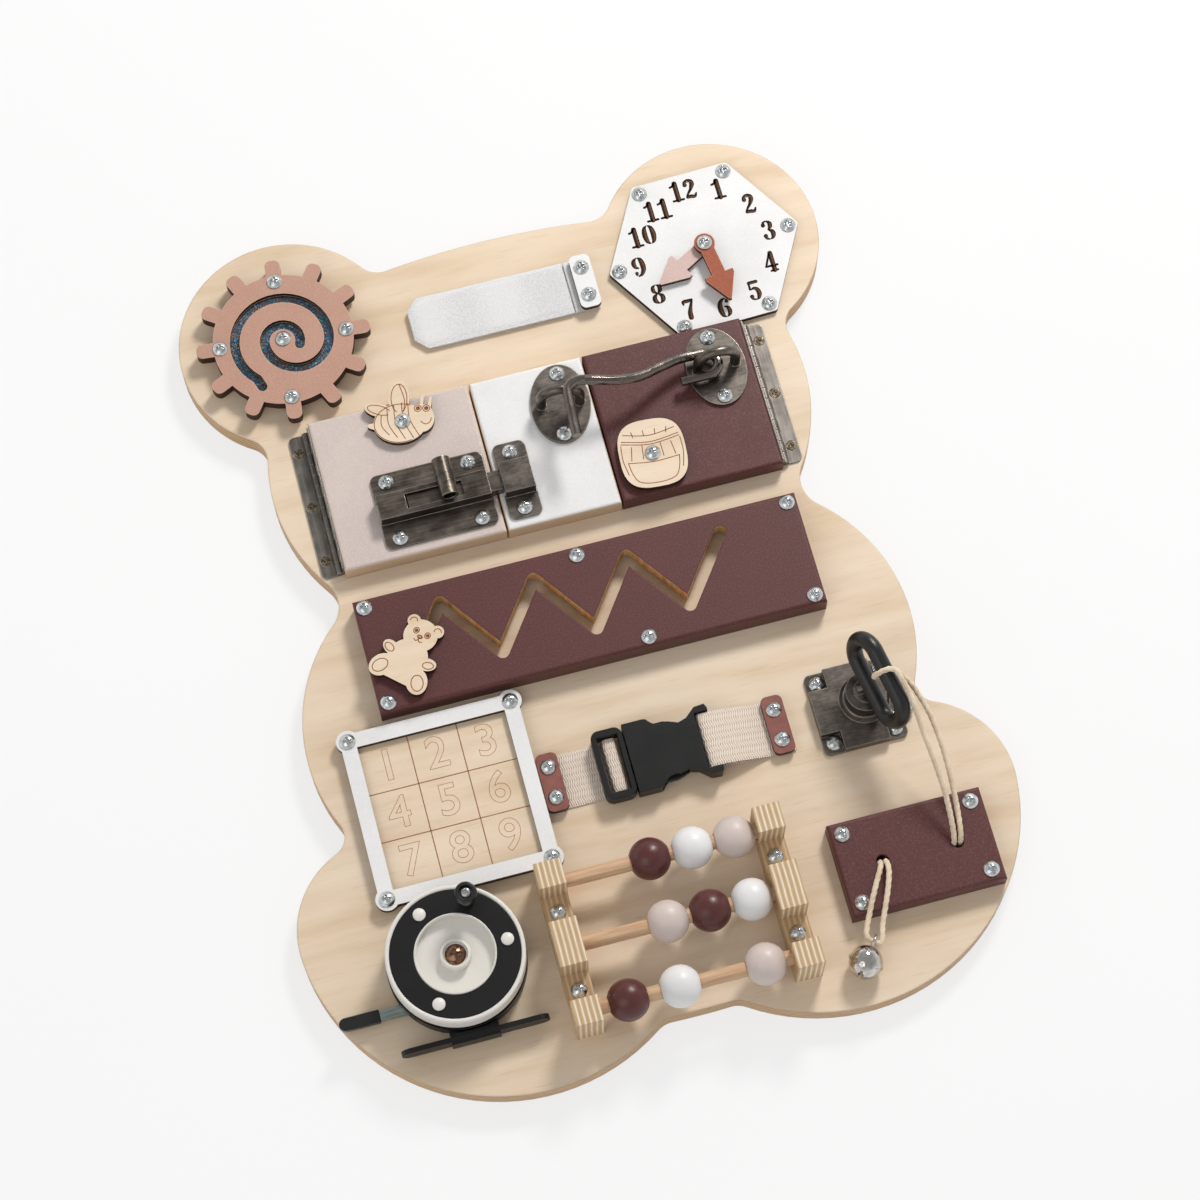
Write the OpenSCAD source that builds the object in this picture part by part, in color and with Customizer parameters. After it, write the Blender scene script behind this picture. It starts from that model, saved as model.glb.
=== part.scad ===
// Bear-shaped wooden busy board: a plywood bear that carries doors, a spiral gear,
// a clock, a zigzag slider, a counting frame, a reel, a lock, a buckle and more.
// Millimetres. The board lies on its back: +Z is out of its front, +Y is the bear's up.
// The origin is the middle of the outline, on the board's back face.

/* [Board] */
// Thickness of the plywood bear
board_t = 12; // [9:0.5:18]
// Radius of each ear
ear_r = 54.5; // [50:0.5:60]
// Distance of each ear's centre from the middle line
ear_x = 108.5; // [105:0.5:112]
// Height of the ears' centres above the middle
ear_y = 170.5; // [167:0.5:173]
// Radius of the small inside curves of the outline
nook_r = 12; // [8:1:15]

/* [Fasteners] */
// Diameter of a pan-head screw's head
screw_head_d = 7.6; // [6:0.1:8]
// Diameter of a screw's shank
screw_d = 3.4; // [2.5:0.1:4]
// Clearance round a shank in its hole
screw_gap = 0.05; // [0.02:0.01:0.2]
// Clearance between pieces that move past each other
run_gap = 0.3; // [0.2:0.05:0.5]
// Thickness of the thin plywood plates
thin_ply = 3; // [2.5:0.1:4]

/* [Doors] */
// Thickness of the block between the doors
block_t = 10; // [8:0.5:12]
// Width of the block between the doors
block_w = 56.6; // [54:0.2:58]
// Width of one door
door_w = 80.5; // [78:0.5:82]
// Height of the doors and the block
door_h = 80; // [78:0.5:84]
// Thickness of the hinge leaves
leaf_t = 0.9; // [0.6:0.1:1]
// Outer radius of a hinge knuckle
knuckle_r = 2; // [1.8:0.1:2.4]
// Radius of a hinge pin
hinge_pin_r = 1; // [0.7:0.1:1.2]
// Length of a piano hinge
hinge_len = 76; // [70:1:79]
// Number of knuckles on a hinge
knuckle_n = 13; // [7:2:15]

/* [Barrel bolt] */
// Thickness of the stamped steel of the bolt and its keeper
stamp_t = 1.2; // [0.8:0.1:1.5]
// Width of the sliding bolt
bolt_w = 10; // [8:0.5:11]
// Height of the sliding bolt
bolt_h = 6.4; // [5:0.2:7]
// Travel of the bolt out of its keeper
bolt_back = 18; // [12:1:18]

/* [Cabin hook] */
// Radius of the hook's rod and of the staples
rod_r = 2.5; // [2:0.1:2.8]
// Half the span of a staple
staple_r = 9.5; // [9:0.1:10.5]
// Height of a staple's straight legs
staple_leg = 8; // [7.4:0.2:9]

/* [Gear] */
// Radius over the gear's teeth
gear_tip_r = 43.2; // [40:0.2:45]
// Radius of the gear's rim between the teeth
gear_root_r = 34.8; // [33.5:0.2:37]
// Number of teeth
gear_teeth = 12; // [8:1:14]
// Width of a tooth
tooth_w = 7.6; // [6:0.2:9]
// Width of the spiral slot
spiral_w = 4.8; // [4:0.1:5.2]

/* [Clock] */
// Distance from the clock's centre to a corner
clock_r = 49.1; // [48:0.1:50]
// Length of the minute hand
minute_len = 33; // [28:0.5:34]
// Length of the hour hand
hour_len = 30.5; // [25:0.5:31]

/* [Zigzag] */
// Length of the zigzag panel
zig_w = 220; // [214:1:226]
// Height of the zigzag panel
zig_h = 58; // [56:1:60]
// Thickness of the zigzag panel
zig_t = 12; // [10:0.5:15]
// Width of the zigzag slot
zig_slot_w = 6.4; // [6:0.1:7.4]
// Diameter of the slider's post
post_d = 5.6; // [4.5:0.1:5.8]

/* [Counting frame] */
// Diameter of a bead
bead_d = 20; // [18:0.2:20.4]
// Diameter of a dowel
dowel_d = 7; // [5:0.2:8]
// Height of the rails
rail_h = 27; // [25:0.5:30]
// Length of the rails
rail_len = 79; // [76:0.5:82]
// Distance between the dowels
row_gap = 31; // [30:0.2:32]

/* [Reel] */
// Radius of the spool's rim
spool_r = 32.4; // [31:0.1:33.4]
// Depth of the spool from flange to flange
spool_depth = 16; // [12:0.5:18]

/* [Buckle] */
// Width of the webbing
web_w = 27; // [25:0.5:28]
// Width over the buckle
buckle_w = 34.6; // [34:0.2:36]

/* [Lock] */
// Side of the square lock case
lock_side = 41; // [39:0.5:43]
// Height of the lock case
lock_h = 6; // [5.5:0.5:8]
// Radius of the round barrel of the lock
lock_barrel_r = 9.8; // [8.5:0.1:11]
// Travel of the lock's bolt
lock_throw = 5; // [3:0.5:6]

/* [Hidden] */
$fn = 64;

// Small steps that keep a cut clean
cut = 1;

// ---------------------------------------------------------------- helpers
function oval(a, b, n = 48) = [for (i = [0 : n - 1]) [a * cos(360 * i / n), b * sin(360 * i / n)]];
function signed_power(v, p) = sign(v) * pow(abs(v), p);
function squircle(a, b, p, n = 48) =
    [for (i = [0 : n - 1]) [a * signed_power(cos(360 * i / n), 2 / p), b * signed_power(sin(360 * i / n), 2 / p)]];
function turn(p, a) = [p[0] * cos(a) - p[1] * sin(a), p[0] * sin(a) + p[1] * cos(a)];
function arc(c, r, a, b, n) = [for (i = [0 : n]) c + r * [cos(a + (b - a) * i / n), sin(a + (b - a) * i / n)]];

// Point where two circles meet, on side s of the line from the first to the second centre
function meet(c1, r1, c2, r2, s) =
    let (d = c2 - c1, l = norm(d), a = (l * l + r1 * r1 - r2 * r2) / (2 * l), h = sqrt(r1 * r1 - a * a))
    c1 + a * d / l + s * h * [-d[1], d[0]] / l;

// Catmull-Rom curve through the points p, with n steps between each two
function curve_at(p, i, t) =
    let (a = p[max(i - 1, 0)], b = p[i], c = p[i + 1], d = p[min(i + 2, len(p) - 1)])
    0.5 * (2 * b + t * (c - a) + t * t * (2 * a - 5 * b + 4 * c - d) + t * t * t * (3 * b - a - 3 * c + d));
function curve(p, n) =
    concat([for (i = [0 : len(p) - 2], k = [0 : n - 1]) curve_at(p, i, k / n)], [p[len(p) - 1]]);

function unit(v) = v / norm(v);
function heading(p, i) = unit(p[min(i + 1, len(p) - 1)] - p[max(i - 1, 0)]);
// Side vectors carried along the path without twist
function carry(u, t) = unit(u - (u * t) * t);
function sides(p, i = 0, u = undef) =
    let (t = heading(p, i),
         s = is_undef(u) ? carry(abs(t[2]) < 0.9 ? [0, 0, 1] : [1, 0, 0], t) : carry(u, t))
    i == len(p) - 1 ? [s] : concat([s], sides(p, i + 1, s));

// Round tube along the points p
module tube(p, r, n = 8) {
    u = sides(p);
    rings = [for (i = [0 : len(p) - 1]) let (t = heading(p, i), v = cross(t, u[i]))
             for (k = [0 : n - 1]) p[i] + r * (cos(360 * k / n) * u[i] + sin(360 * k / n) * v)];
    walls = [for (i = [0 : len(p) - 2], k = [0 : n - 1]) let (a = i * n + k, b = i * n + (k + 1) % n)
             each [[a, b, b + n], [a, b + n, a + n]]];
    start = [for (k = [n - 1 : -1 : 0]) k];
    end = [for (k = [0 : n - 1]) (len(p) - 1) * n + k];
    polyhedron(rings, concat([start, end], [for (w = walls) [w[0], w[1], w[2]]]), convexity = 6);
}

module at(p) { for (q = p) translate(q) children(); }
module rounded(w, h, r) {
    square([w - 2 * r, h], center = true);
    square([w, h - 2 * r], center = true);
    at([for (x = [-1, 1], y = [-1, 1]) [x * (w / 2 - r), y * (h / 2 - r)]]) circle(r);
}
module plate(t) { linear_extrude(t) children(); }
module bar2d(a, b, w) {
    d = b - a;
    translate(a) rotate(atan2(d[1], d[0])) translate([0, -w / 2]) square([norm(d), w]);
    at([a, b]) circle(w / 2);
}

// Outline of a stroke of half width r along the points p, with round ends and round outer corners
function normal(a, b) = turn(unit(b - a), 90);
function fan(c, n, a, steps) = [for (k = [0 : steps]) c + turn(n, a * k / steps)];
function stroke_side(p, r, i, s) =
    let (a = s * normal(p[i - 1], p[i]), b = s * normal(p[i], p[i + 1]), bend = acos(a * b))
    bend > 20 && s * cross(a, b) < 0 ? fan(p[i], r * a, -s * bend, 6) : [p[i] + r * (a + b) / (1 + a * b)];
function stroke(p, r) =
    let (last = len(p) - 1)
    concat(fan(p[0], -r * normal(p[0], p[1]), -180, 10), [for (i = [1 : last - 1]) each stroke_side(p, r, i, 1)],
           fan(p[last], r * normal(p[last - 1], p[last]), -180, 10),
           [for (i = [last - 1 : -1 : 1]) let (q = stroke_side(p, r, i, -1)) each [for (k = [len(q) - 1 : -1 : 0]) q[k]]]);

// Pan-head screw whose head sits on z = 0 and whose shank runs down
screw_head_h = 2.4;
screw_r = screw_d / 2;
hole_r = screw_r + screw_gap;
turn_r = screw_r + 0.09;
cross_w = 1.1;
module screw(length, head_d = screw_head_d, head_h = screw_head_h, r = screw_r) {
    dome = head_d * 0.62;
    tip = 2 * r;
    difference() {
        union() {
            intersection() {
                cylinder(d = head_d, h = head_h);
                translate([0, 0, head_h - dome]) sphere(dome);
            }
            translate([0, 0, -length + tip]) cylinder(r = r, h = length - tip + 0.4);
            translate([0, 0, -length]) cylinder(r1 = 0.3, r2 = r, h = tip);
        }
        for (a = [0, 90]) rotate(a) translate([0, 0, head_h]) cube([head_d * 0.5, cross_w, 2.4], center = true);
    }
}
// Countersunk screw whose flat head is level with z = 0
flat_head_r = 2.7;
flat_head_h = 1.4;
module flat_screw(length) {
    difference() {
        union() {
            translate([0, 0, -flat_head_h]) cylinder(r1 = 1.3, r2 = flat_head_r, h = flat_head_h);
            translate([0, 0, -length]) cylinder(r = 1.3, h = length - flat_head_h + 0.1);
        }
        for (a = [0, 90]) rotate(a) cube([2.8, 0.8, 1.2], center = true);
    }
}
module flat_hole(depth) {
    translate([0, 0, -flat_head_h - screw_gap]) cylinder(r1 = 1.3, r2 = flat_head_r + 0.1, h = flat_head_h + 2 * screw_gap);
    translate([0, 0, -depth]) cylinder(r = 1.3 + screw_gap, h = depth);
}

// ---------------------------------------------------------------- board
// The outline is a chain of arcs, from the crown round the right side to the belly
ear_c = [ear_x, ear_y];
head_c = [47, 92];
head_r = 88;
body_c = [64, -42];
body_r = 85;
sole_c = [76, -127];
sole_r = 98;
toe_r = 45;
toe_a = -5.5;
toe_c = sole_c + (sole_r - toe_r) * [cos(toe_a), sin(toe_a)];
crown_r = 420;
crown_c = [0, 200 - crown_r];
belly_r = 400;
belly_c = [0, belly_r - 206.5];
waist_r = 16;
hip_r = 10;

// Each inside curve touches the two circles it lies between
nook_a = meet(ear_c, ear_r + nook_r, crown_c, crown_r + nook_r, -1);
nook_b = meet(ear_c, ear_r + nook_r, head_c, head_r + nook_r, 1);
nook_c = meet(head_c, head_r + waist_r, body_c, body_r + waist_r, 1);
nook_d = meet(body_c, body_r + hip_r, toe_c, toe_r + hip_r, 1);
nook_e = meet(sole_c, sole_r + nook_r, belly_c, belly_r + nook_r, 1);
function touch(c, r, f) = c + r * unit(f - c);
turns = [touch(crown_c, crown_r, nook_a), touch(ear_c, ear_r, nook_a), touch(ear_c, ear_r, nook_b),
         touch(head_c, head_r, nook_b), touch(head_c, head_r, nook_c), touch(body_c, body_r, nook_c),
         touch(body_c, body_r, nook_d), touch(toe_c, toe_r, nook_d), touch(toe_c, toe_r, 2 * toe_c - sole_c),
         touch(sole_c, sole_r, nook_e), touch(belly_c, belly_r, nook_e)];
arcs = [[nook_a, nook_r, 1], [ear_c, ear_r, -1], [nook_b, nook_r, 1], [head_c, head_r, -1], [nook_c, waist_r, 1],
        [body_c, body_r, -1], [nook_d, hip_r, 1], [toe_c, toe_r, -1], [sole_c, sole_r, -1], [nook_e, nook_r, 1]];
function flip(p) = [-p[0], p[1]];
function bearing(c, p) = atan2(p[1] - c[1], p[0] - c[0]);

// Points of a circle from p up to q, clockwise where s is -1
function sweep(c, r, p, q, s, first = 0) =
    let (a = bearing(c, p), b = bearing(c, q), d = s > 0 ? (b - a + 720) % 360 : -((a - b + 720) % 360),
         n = ceil(abs(d) / (r > 200 ? 1 : 4)))
    [for (i = [first : n - 1]) c + r * [cos(a + d * i / n), sin(a + d * i / n)]];
module bear() {
    last = len(turns) - 1;
    half = concat([for (k = [0 : last - 1]) each sweep(arcs[k][0], arcs[k][1], turns[k], turns[k + 1], arcs[k][2])],
                  [turns[last]]);
    polygon(concat(half, sweep(belly_c, belly_r, turns[last], flip(turns[last]), -1, 1),
                   [for (i = [len(half) - 1 : -1 : 0]) flip(half[i])],
                   sweep(crown_c, crown_r, flip(turns[0]), turns[0], -1, 1)));
}

// ---------------------------------------------------------------- places on the board
top = board_t;
gear_c = [-110.6, 169.6];
gear_tilt = -5;
gear_screw_r = 31.4;
gear_lift = 3;
clock_c = [104, 166.1];
clock_tilt = 2;
clock_screw_r = clock_r - 5;
strap_y = 162.9;
strap_w = 28;
strap_l = -46;
strap_hinge_x = 33;
strap_t = 1.5;
strap_clamp_x = 41.6;
clamp_w = 10.5;
clamp_h = 29;
clamp_screw_y = 7.6;
door_y = 82.2;
door_gap = 0.8;
door_in = block_w / 2 + door_gap;
door_out = door_in + door_w;
door_mid = (door_in + door_out) / 2;
pin_x = door_out + knuckle_r + screw_gap;
pin_z = top + knuckle_r;
leaf_out = pin_x + 9;
leaf_screw_x = pin_x + 5.3;
leaf_screw_gap = 29;
face = top + block_t;
zig_y = -3.6;
zig_screws = [for (x = [-1, 1], y = [-1, 1]) [x * (zig_w / 2 - 5), zig_y + y * (zig_h / 2 - 4.5)]];
zig_mid_screws = [[0, zig_y + zig_h / 2 - 4.5], [22.7, zig_y - zig_h / 2 + 4.5]];
number_c = [-88.6, -80];
number_screw = 39.7;
web_y = -84;
web_clamp_l = -39.6;
web_clamp_r = 71;
lock_c = [109.6, -84];
lock_screw = 15;
cord_plate_c = [115.7, -162.2];
cord_plate_w = 74.5;
cord_plate_h = 46;
cord_plate_t = 10;
cord_hole_key = [135.5, -162.4];
cord_hole_bell = [99.2, -162.4];
cord_hole_r = 3.1;
rail_y = -166;
rail_l = -53;
rail_r = 51.6;
rail_w = 13;
rail_screw_y = 19;
rail_floor = 9;
dowel_z = top + 16;
reel_c = [-104.2, -157.2];

clock_screws = [for (k = [0 : 5]) clock_c + clock_screw_r * [cos(clock_tilt + 60 * k), sin(clock_tilt + 60 * k)]];
strap_screws = [for (s = [-1, 1]) [strap_clamp_x, strap_y + s * clamp_screw_y]];
web_screws = [for (x = [web_clamp_l, web_clamp_r], s = [-1, 1]) [x, web_y + s * clamp_screw_y]];
number_screws = [for (x = [-1, 1], y = [-1, 1]) number_c + number_screw * [x, y]];
lock_screws = [for (x = [-1, 1], y = [-1, 1]) lock_c + lock_screw * [x, y]];
cord_plate_screws = [for (x = [-1, 1], y = [-1, 1])
    cord_plate_c + [x * (cord_plate_w / 2 - 6), y * (cord_plate_h / 2 - 6)]];
rail_screws = [for (x = [rail_l, rail_r], s = [-1, 1]) [x, rail_y + s * rail_screw_y]];
leaf_screws = [for (s = [-1, 1], k = [-1 : 1]) [s * leaf_screw_x, door_y + k * leaf_screw_gap]];
keeper_c = [-17.8, door_y - 15.7];
keeper_screw = 14.8;
catch_c = [12.6, door_y + 17.4];
catch_tilt = -8;
plate_screw = 16;
hook_c = [91.4, door_y + 16.8];
block_screws = concat([for (s = [-1, 1]) keeper_c + [0, s * keeper_screw]],
                      [for (s = [-1, 1]) catch_c + turn([0, s * plate_screw], catch_tilt)]);

bite = 8;
module board() {
    color("burlywood") difference() {
        plate(board_t) bear();
        at([for (p = concat(clock_screws, strap_screws, web_screws, number_screws, lock_screws,
                            cord_plate_screws, rail_screws, zig_screws, zig_mid_screws))
            [p[0], p[1], top - bite - 1]]) cylinder(r = hole_r, h = bite + 1 + cut);
        at([for (p = [gear_c, clock_c]) [p[0], p[1], top - bite - 1]]) cylinder(r = hole_r, h = bite + 1 + cut);
        translate([reel_c[0], reel_c[1], top - bite - 1]) cylinder(r = axle_r + screw_gap, h = bite + 1 + cut);
        at([for (p = leaf_screws) [p[0], p[1], top + leaf_t]]) flat_hole(7);
    }
}
module board_screws() {
    color("silver") {
        at([for (p = clock_screws) [p[0], p[1], top + thin_ply]]) screw(thin_ply + bite);
        at([for (p = strap_screws) [p[0], p[1], strap_top + thin_ply]]) screw(strap_top - top + thin_ply + bite);
        at([for (p = web_screws) [p[0], p[1], web_top + thin_ply]]) screw(web_top - top + thin_ply + bite);
        at([for (p = number_screws) [p[0], p[1], top + 2 * thin_ply]]) screw(2 * thin_ply + bite);
        at([for (p = lock_screws) [p[0], p[1], top + lock_flange]]) screw(lock_flange + bite);
        at([for (p = cord_plate_screws) [p[0], p[1], top + cord_plate_t]]) screw(cord_plate_t + bite);
        at([for (p = rail_screws) [p[0], p[1], top + rail_floor]]) screw(rail_floor + bite);
        at([for (p = concat(zig_screws, zig_mid_screws)) [p[0], p[1], top + zig_t]]) screw(zig_t + bite);
        at([for (p = block_screws) [p[0], p[1], face + (p[0] < 0 ? stamp_t : oval_t)]]) screw(bite);
        translate([gear_c[0], gear_c[1], gear_top + 0.2]) screw(gear_top + 0.2 - top + bite);
        translate([clock_c[0], clock_c[1], minute_top + 0.2]) screw(minute_top + 0.2 - top + bite);
        at([for (p = leaf_screws) [p[0], p[1], top + leaf_t]]) flat_screw(7);
        translate([reel_c[0], reel_c[1], spool_top - axle_head_h])
            screw(spool_top - axle_head_h - top + bite, 2 * axle_head_r, axle_head_h, axle_r);
        spacers();
    }
}
// Washers that hold the gear, the hands and the reel off the pieces under them
gear_back_z = top + gear_lift;
gear_top = gear_back_z + 2 * thin_ply;
hand_t = 2.4;
hand_gap = 0.8;
hour_z = top + thin_ply + hand_gap;
minute_z = hour_z + hand_t + hand_gap;
minute_top = minute_z + hand_t;
module washer(p, z, r, h, bore = hole_r) {
    translate([p[0], p[1], z]) difference() {
        cylinder(r = r, h = h);
        translate([0, 0, -cut]) cylinder(r = bore, h = h + 2 * cut);
    }
}
module spacers() {
    washer(gear_c, top, 6, gear_lift - 0.1);
    washer(clock_c, top + thin_ply, 4, hand_gap - 0.2);
    washer(clock_c, hour_z + hand_t + 0.1, 4, hand_gap - 0.2);
    washer(reel_c, top, reel_boss_r, reel_boss_h, axle_r + screw_gap);
}

// ---------------------------------------------------------------- spiral gear
spiral_big = 23.4;
spiral_mid = 16;
spiral_small = 8.8;
spiral_y = -1;
spiral_right = 22.6;
spiral_tail = [-15.6, -22.4];
spiral = concat([spiral_tail], arc([spiral_right - spiral_big, spiral_y], spiral_big, 226, 0, 24),
                arc([spiral_right - spiral_mid, spiral_y], spiral_mid, -9, -180, 18),
                arc([spiral_right - 2 * spiral_mid + spiral_small, spiral_y], spiral_small, 169, -25, 14));
gear_screw_a = [for (k = [0 : 3]) gear_tilt + 90 * k];
function tooth(a) =
    let (h = tooth_w / 2, foot = sqrt(gear_root_r * gear_root_r - h * h), c = gear_tip_r - 3)
    [for (q = concat([[foot, -h]], arc([c, 3 - h], 3, -90, 0, 4), arc([c, h - 3], 3, 0, 90, 4), [[foot, h]])) turn(q, a)];
module gear_outline() {
    pitch = 360 / gear_teeth;
    half = asin(tooth_w / 2 / gear_root_r);
    polygon([for (k = [0 : gear_teeth - 1]) let (a = gear_tilt + pitch * k)
        each concat(tooth(a), [for (j = [1 : 5]) turn([gear_root_r, 0], a + half + (pitch - 2 * half) * j / 6)])]);
}
module gear_holes(z) {
    translate([0, 0, z]) cylinder(r = turn_r, h = 3 * thin_ply);
    for (a = gear_screw_a) rotate(a) translate([gear_screw_r, 0, z]) cylinder(r = 1.55, h = 3 * thin_ply);
}
window_t = 0.6;
window_r = 29;
groove_d = 2;
module gear_back() {
    color("rosybrown") translate([gear_c[0], gear_c[1], gear_back_z]) difference() {
        plate(thin_ply) gear_outline();
        translate([0, 0, thin_ply - groove_d]) plate(groove_d + cut) polygon(stroke(spiral, spiral_w / 2));
        gear_holes(-cut);
    }
}
module gear_front() {
    color("rosybrown") translate([gear_c[0], gear_c[1], gear_back_z + thin_ply]) difference() {
        plate(thin_ply) gear_outline();
        translate([0, 0, -cut]) plate(thin_ply + 2 * cut) polygon(stroke(spiral, spiral_w / 2));
        translate([0, 0, -cut]) cylinder(r = window_r + 0.1, h = window_t + 0.1 + cut);
        gear_holes(-cut);
    }
}
module gear_window() {
    color("azure", 0.4) translate([gear_c[0], gear_c[1], gear_back_z + thin_ply]) difference() {
        cylinder(r = window_r, h = window_t);
        translate([0, 0, -cut]) cylinder(r = turn_r, h = window_t + 2 * cut);
    }
}
glitter_r = 0.95;
module gear_beads() {
    color("teal") translate([gear_c[0], gear_c[1], gear_back_z + thin_ply - glitter_r - 0.03])
        for (i = [1 : 2 : len(spiral) - 2]) translate(spiral[i]) rotate(i * 70)
            translate([1.05, 0, 0]) sphere(glitter_r);
}
module gear_screws() {
    color("silver") translate([gear_c[0], gear_c[1], gear_top])
        for (a = gear_screw_a) rotate(a) translate([gear_screw_r, 0, 0]) screw(2 * thin_ply - 0.2, r = 1.5);
}

// ---------------------------------------------------------------- clock
clock_corner = 2;
module clock_face() {
    color("white") difference() {
        translate([clock_c[0], clock_c[1], top]) plate(thin_ply)
            polygon([for (k = [0 : 5]) each arc((clock_r - clock_corner) * [cos(clock_tilt + 60 * k),
                sin(clock_tilt + 60 * k)], clock_corner, clock_tilt + 60 * k - 30, clock_tilt + 60 * k + 30, 4)]);
        at([for (p = clock_screws) [p[0], p[1], top - cut]]) cylinder(r = hole_r, h = thin_ply + 2 * cut);
        translate([clock_c[0], clock_c[1], top - cut]) cylinder(r = hole_r, h = thin_ply + 2 * cut);
    }
}
// Arrow-shaped hand that points along the angle a
hand_w = 7;
arrow_w = 15;
arrow_len = 15;
module hand(length, a, z) {
    neck = length - arrow_len;
    translate([clock_c[0], clock_c[1], z]) rotate(a) difference() {
        plate(hand_t) {
            circle(5.2);
            translate([0, -hand_w / 2]) square([neck + 1, hand_w]);
            polygon([[neck, -arrow_w / 2], [neck + 2, -arrow_w / 2], [length, -0.6], [length, 0.6],
                     [neck + 2, arrow_w / 2], [neck, arrow_w / 2]]);
        }
        translate([0, 0, -cut]) cylinder(r = turn_r, h = hand_t + 2 * cut);
    }
}
module hour_hand() { color("mistyrose") hand(hour_len, 209, hour_z); }
module minute_hand() { color("sienna") hand(minute_len, 278, minute_z); }

// ---------------------------------------------------------------- touch-fastener strap
strap_top = top + 2 * strap_t + 0.2;
module strap_outline(x0, x1, bevel) {
    h = strap_w / 2;
    polygon([[x0, -h + bevel], [x0 + bevel, -h], [x1, -h], [x1, h], [x0 + bevel, h], [x0, h - bevel]]);
}
module fastener_strip() {
    color("white") translate([0, strap_y, 0]) {
        translate([0, 0, top]) plate(strap_t) strap_cut(strap_l + 2, strap_clamp_x + clamp_w / 2 - 0.5, 6);
        translate([0, 0, top + strap_t]) plate(strap_t + 0.2)
            strap_cut(strap_hinge_x + run_gap, strap_clamp_x + clamp_w / 2 - 0.5, 0);
    }
}
module strap_cut(x0, x1, bevel) {
    difference() {
        strap_outline(x0, x1, bevel);
        at([for (s = [-1, 1]) [strap_clamp_x, s * clamp_screw_y]]) circle(hole_r);
    }
}
module strap_flap() {
    color("whitesmoke") translate([0, strap_y, top + strap_t + 0.2]) plate(strap_t)
        strap_outline(strap_l - 2, strap_hinge_x, 6.5);
}
module clamp(p, z) {
    translate([p[0], p[1], z]) difference() {
        plate(thin_ply) rounded(clamp_w, clamp_h, 3);
        at([for (s = [-1, 1]) [0, s * clamp_screw_y, -cut]]) cylinder(r = hole_r, h = thin_ply + 2 * cut);
    }
}
module strap_clamps() {
    color("white") clamp([strap_clamp_x, strap_y], strap_top);
    color("sienna") for (x = [web_clamp_l, web_clamp_r]) clamp([x, web_y], web_top);
}

// ---------------------------------------------------------------- doors and hinges
door_bottom = top + run_gap;
door_t = block_t - run_gap;
edge_r = 1.5;
// A panel with its upper long edges rounded, laid along X
module panel(w, h, t) {
    translate([-w / 2, h / 2, 0]) rotate([90, 0, 90]) plate(w) {
        translate([-h, 0]) square([h, t - edge_r]);
        translate([edge_r - h, 0]) square([h - 2 * edge_r, t]);
        for (y = [edge_r - h, -edge_r]) translate([y, t - edge_r]) circle(edge_r);
    }
}
// A panel with all four upper edges rounded
module slab(w, h, t) {
    intersection() {
        panel(w, h, t);
        rotate(90) panel(h, w, t);
    }
}
module centre_block() {
    color("white") difference() {
        translate([0, door_y, top]) slab(block_w, door_h, block_t);
        at([for (p = block_screws) [p[0], p[1], face - bite]]) cylinder(r = hole_r, h = bite + cut);
    }
}
module door_screw_holes(side) {
    for (k = [-1 : 1]) translate([side * door_out, door_y + k * leaf_screw_gap, top + 6.2])
        rotate([0, side * 90, 0]) translate([0, 0, -6]) cylinder(r = 1 + screw_gap, h = 6 + cut);
}
bolt_c = [-59.3, door_y - 15.7];
bolt_screws = [for (x = [-1, 1], y = [-1, 1]) bolt_c + [x * 20.4, y * keeper_screw]];
bee_c = [-64.2, door_y + 27.5];
barrel_c = [49, door_y - 20.2];
module left_door() {
    color("rosybrown") difference() {
        translate([-door_mid, door_y, door_bottom]) slab(door_w, door_h, door_t);
        at([for (p = concat(bolt_screws, [bee_c])) [p[0], p[1], face - bite]]) cylinder(r = hole_r, h = bite + cut);
        door_screw_holes(-1);
    }
}
hook_screws = [for (s = [-1, 1]) hook_c + [0, s * plate_screw]];
module right_door() {
    color("maroon") difference() {
        translate([door_mid, door_y, door_bottom]) slab(door_w, door_h, door_t);
        at([for (p = concat(hook_screws, [barrel_c])) [p[0], p[1], face - bite]]) cylinder(r = hole_r, h = bite + cut);
        door_screw_holes(1);
    }
}
knuckle_len = hinge_len / knuckle_n;
knuckle_gap = 0.15;
hinge_bore_r = hinge_pin_r + 0.05;
// Knuckles with index first, first + 2 and so on, with a tab of the leaf on each
module knuckles(first, tab, turn_tab) {
    for (k = [first : 2 : knuckle_n - 1])
        translate([0, -hinge_len / 2 + k * knuckle_len + knuckle_gap, 0]) {
            len = knuckle_len - 2 * knuckle_gap;
            difference() {
                union() {
                    rotate([-90, 0, 0]) cylinder(r = knuckle_r, h = len);
                    if (turn_tab) translate([-knuckle_r, 0, 0]) cube([leaf_t, len, tab]);
                    else translate([0, 0, -knuckle_r]) cube([tab, len, leaf_t]);
                }
                translate([0, -cut, 0]) rotate([-90, 0, 0]) cylinder(r = hinge_bore_r, h = len + 2 * cut);
            }
        }
}
leaf_w = leaf_out - pin_x;
module board_leaf() {
    clear = knuckle_r + 0.25;
    difference() {
        union() {
            knuckles(0, clear + cut, false);
            translate([clear, -hinge_len / 2, -knuckle_r]) plate(leaf_t) union() {
                square([leaf_w - clear - 3, hinge_len]);
                translate([0, 3]) square([leaf_w - clear, hinge_len - 6]);
                at([[leaf_w - clear - 3, 3], [leaf_w - clear - 3, hinge_len - 3]]) circle(3);
            }
        }
        for (k = [-1 : 1]) translate([leaf_screw_x - pin_x, k * leaf_screw_gap, leaf_t - knuckle_r]) flat_hole(6);
    }
    translate([0, hinge_len / 2, 0]) rotate([90, 0, 0]) cylinder(r = hinge_pin_r, h = hinge_len);
}
module hinge_board_leaves() {
    color("dimgray") {
        translate([pin_x, door_y, pin_z]) board_leaf();
        translate([-pin_x, door_y, pin_z]) mirror([1, 0, 0]) board_leaf();
    }
}
door_leaf_h = block_t - knuckle_r - 0.6;
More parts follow.
